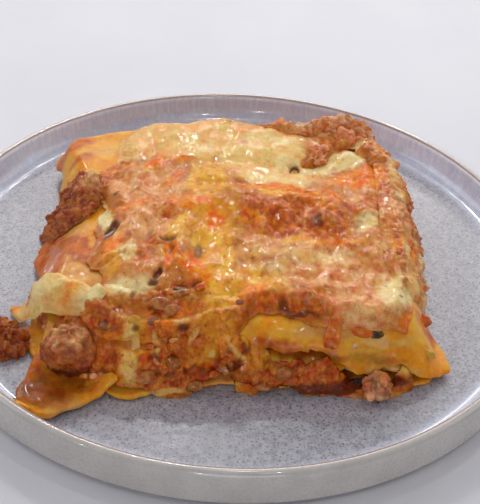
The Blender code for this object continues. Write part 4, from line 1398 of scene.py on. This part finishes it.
def tongue_rings(around=240, count=40):
    """Rings of a long oval from its middle out, over the rim and back underneath."""
    angle = full_turn(count, around)
    out = np.linspace(0.03, 1.0, count)[:, None] * np.ones((1, around))
    way = TONGUE_TIP - TONGUE_ROOT
    length = np.hypot(*way)
    way = way / length
    side = np.array((-way[1], way[0]))

    def sheet(share, lift):
        c, s = np.cos(angle), np.sin(angle)
        along = 0.5 * length * (1.0 + share * np.sign(c) * np.abs(c) ** 0.85)
        wide = TONGUE_HALF_WIDTH * (1.0 - 0.3 * smooth_step(1.2 * along / length - 0.2)) * share
        across = wide * np.sign(s) * np.abs(s) ** 0.7 + 3.0 * np.sin(np.pi * along / length)
        x = TONGUE_ROOT[0] + way[0] * along + side[0] * across
        y = TONGUE_ROOT[1] + way[1] * along + side[1] * across
        thick = TONGUE_THICK * (1.0 - 0.25 * share**2) * np.sqrt(np.clip(1.02 - share**6, 0, 1))
        raised = 1.0 * smooth_step(1.6 * along / length - 0.6)
        return np.stack([x, y, bridged(x, y, 1.0) + raised + (0.5 + lift) * thick], axis=-1)

    return np.concatenate([sheet(out, 0.5), sheet(out, -0.5)[::-2]])


rings = tongue_rings()
rings = rings + unit_normals(rings, True) * (0.55 * rough(rings, 6.0, 171, 3))[..., None]
TONGUE_OVALS = dict(
    cream=((-62, -43, 9, 3.0, 150, 0.5), (-45, -50, 6, 5, 0, 0.7)),
    orange=((-75, -32, 4, 3, 0, 0.9), (-52, -48, 4, 4, 160, 0.55)),
    brown=((-68, -38.5, 1.8, 1.4, 0, 1.0),))
shares = painted(TONGUE_OVALS, rings[..., 0], rings[..., 1], 4.0, 0.4)
tongue = add_rings("torn_strip", rings, **shares, **{
    name: np.full(rings.shape[:2], share) for name, share in
    (("yellow", 1.0), ("gold", 0.15), ("pink", 0.2), ("dark", 0.0), ("hollow_shade", 0.0), ("lump", 0.0))})
tongue.data.materials.append(baked)
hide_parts("pasta_tongue")

# ----------------------------------------------
# Small bits in the sauce: diced carrot, red onion, scraps of pasta, nuggets of fried mince and
# a bay leaf's dark shreds. Each is a knife-cut or torn bit, a blunt box with dents.
# ----------------------------------------------
# Each kind's two colours, its corners' power, and its bits: a middle, three half lengths, and a
# turn and a tilt in degrees.
BITS = {
    "carrot_bits": ("#c4560c", "#dc7c26", 4.0, (
        (32.3, -57.3, 25.9, 2.2, 5.2, 1.3, -12, 38), (41.3, -56.5, 25.5, 3.0, 1.5, 1.2, -18, 30),
        (-21.5, -58.7, 23.6, 2.0, 1.5, 1.3, 30, 40), (-33.9, -65.8, 17.3, 1.3, 2.0, 1.0, 10, 60),
        (64.0, -38.5, 16.9, 2.4, 1.8, 1.2, -60, 20), (-11.0, -45.0, 31.1, 1.5, 1.1, 0.9, 30, 20),
        (-15.7, -59.6, 22.2, 1.4, 1.0, 0.8, -30, 50), (-5.0, -65.1, 12.5, 1.6, 1.0, 0.8, 20, 60),
        (-60.5, -62.7, 8.2, 1.6, 0.9, 0.6, 60, 50), (-73.2, -54.2, 6.5, 0.9, 2.2, 0.7, 20, 10),
        (-25.6, -62.7, 20.5, 1.2, 0.9, 0.8, 0, 40), (55.7, -19.6, 30.6, 1.6, 1.1, 0.9, 70, 40),)),
    "onion_bits": ("#84442c", "#a8643e", 3.0, (
        (-39.4, -57.4, 23.7, 2.4, 1.8, 1.2, -20, 35), (-25.2, -56.9, 25.9, 1.7, 1.5, 1.1, 20, 30),
        (-67.4, -36.4, 16.0, 1.5, 1.7, 0.7, 10, 10), (2.1, -50.7, 30.9, 1.2, 0.8, 0.6, 10, 20),
        (35.6, -48.6, 31.3, 1.3, 0.8, 0.6, 30, 20),)),
    "pasta_scraps": ("#cc9026", "#dfac46", 3.5, (
        (-8.3, -61.9, 20.1, 3.4, 2.4, 0.8, -12, 55), (-31.2, -57.0, 26.0, 1.8, 1.7, 1.1, 10, 40),
        (-30.3, -62.6, 19.6, 1.5, 4.4, 0.7, 4, 62), (64.0, -53.5, 15.2, 2.6, 1.4, 0.8, -20, 40),
        (-8.3, -61.4, 19.6, 1.2, 1.0, 0.8, 30, 40),)),
    "mince_nuggets": ("#a0581f", "#c88240", 2.4, (
        (16.9, -64.4, 13.8, 2.4, 2.2, 2.0, 20, 30), (-17.3, -47.3, 30.1, 2.6, 1.6, 1.3, 20, 10),
        (-23.5, -50.6, 28.2, 3.2, 2.4, 1.5, -10, 20), (-19.4, -52.8, 27.8, 2.6, 2.0, 1.4, 40, 30),
        (-11.2, -67.4, 9.0, 2.6, 1.8, 1.6, 0, 50), (10.5, -65.8, 9.0, 2.6, 1.6, 1.5, -10, 40),
        (-26.7, -68.2, 12.7, 3.0, 2.2, 1.6, 10, 50), (-19.1, -64.4, 15.2, 3.4, 2.4, 1.7, -20, 50),
        (-44.1, -62.5, 16.0, 2.2, 1.8, 1.2, 0, 50),)),
    "dark_herb_shreds": ("#382a14", "#6a4c26", 2.6, (
        (46.1, -56.4, 25.2, 2.0, 1.5, 0.8, 10, 20), (-10.3, -56.6, 26.3, 1.2, 1.0, 0.7, 0, 40),
        (-18.0, -46.3, 30.8, 1.6, 0.9, 0.6, -20, 10),)),
}
BIT_SUNK = 0.8


def add_bits(name, blunt, bits, rings=15, around=24):
    """Blunt boxes, |x/a|^n + |y/b|^n + |z/c|^n = 1, turned, tilted and a little dented."""
    way = ball_points(rings, around)
    way = way / np.sum(np.abs(way) ** blunt, axis=-1, keepdims=True) ** (1.0 / blunt)
    points, faces = [], []
    for number, (x, y, z, long_way, wide, thick, turned, tilted) in enumerate(bits):
        shape = way * (1.0 + 0.24 * rough(way + 9.0 * number, 1.1, 401, 3))[:, None]
        shape = shape * (long_way, wide, thick)
        c, s = math.cos(math.radians(tilted)), math.sin(math.radians(tilted))
        shape = shape @ np.array(((1, 0, 0), (0, c, s), (0, -s, c)))
        c, s = math.cos(math.radians(turned)), math.sin(math.radians(turned))
        shape = shape @ np.array(((c, s, 0), (-s, c, 0), (0, 0, 1)))
        faces += ball_faces(rings, around, number)
        points.append(shape + (x, y, z - BIT_SUNK))
    return add_piece(name, np.concatenate(points), faces)


for bits_name, (low, high, blunt, bits) in BITS.items():
    # Stewed vegetables and meat are soft and wet, so a little light goes in and the coat glints.
    stewed = new_food("stewed_" + bits_name, 0.15, 0.001, (1.0, 0.45, 0.2), specular=0.15,
                      coat=0.5)
    where = object_place(stewed)
    finish_food(stewed, mottled(stewed, where, 2.5, low, high), where, 0.15, (0.4, 0.6), 1.2, 0.2)
    piece = add_bits(bits_name, blunt, bits)
    piece.data.materials.append(stewed)
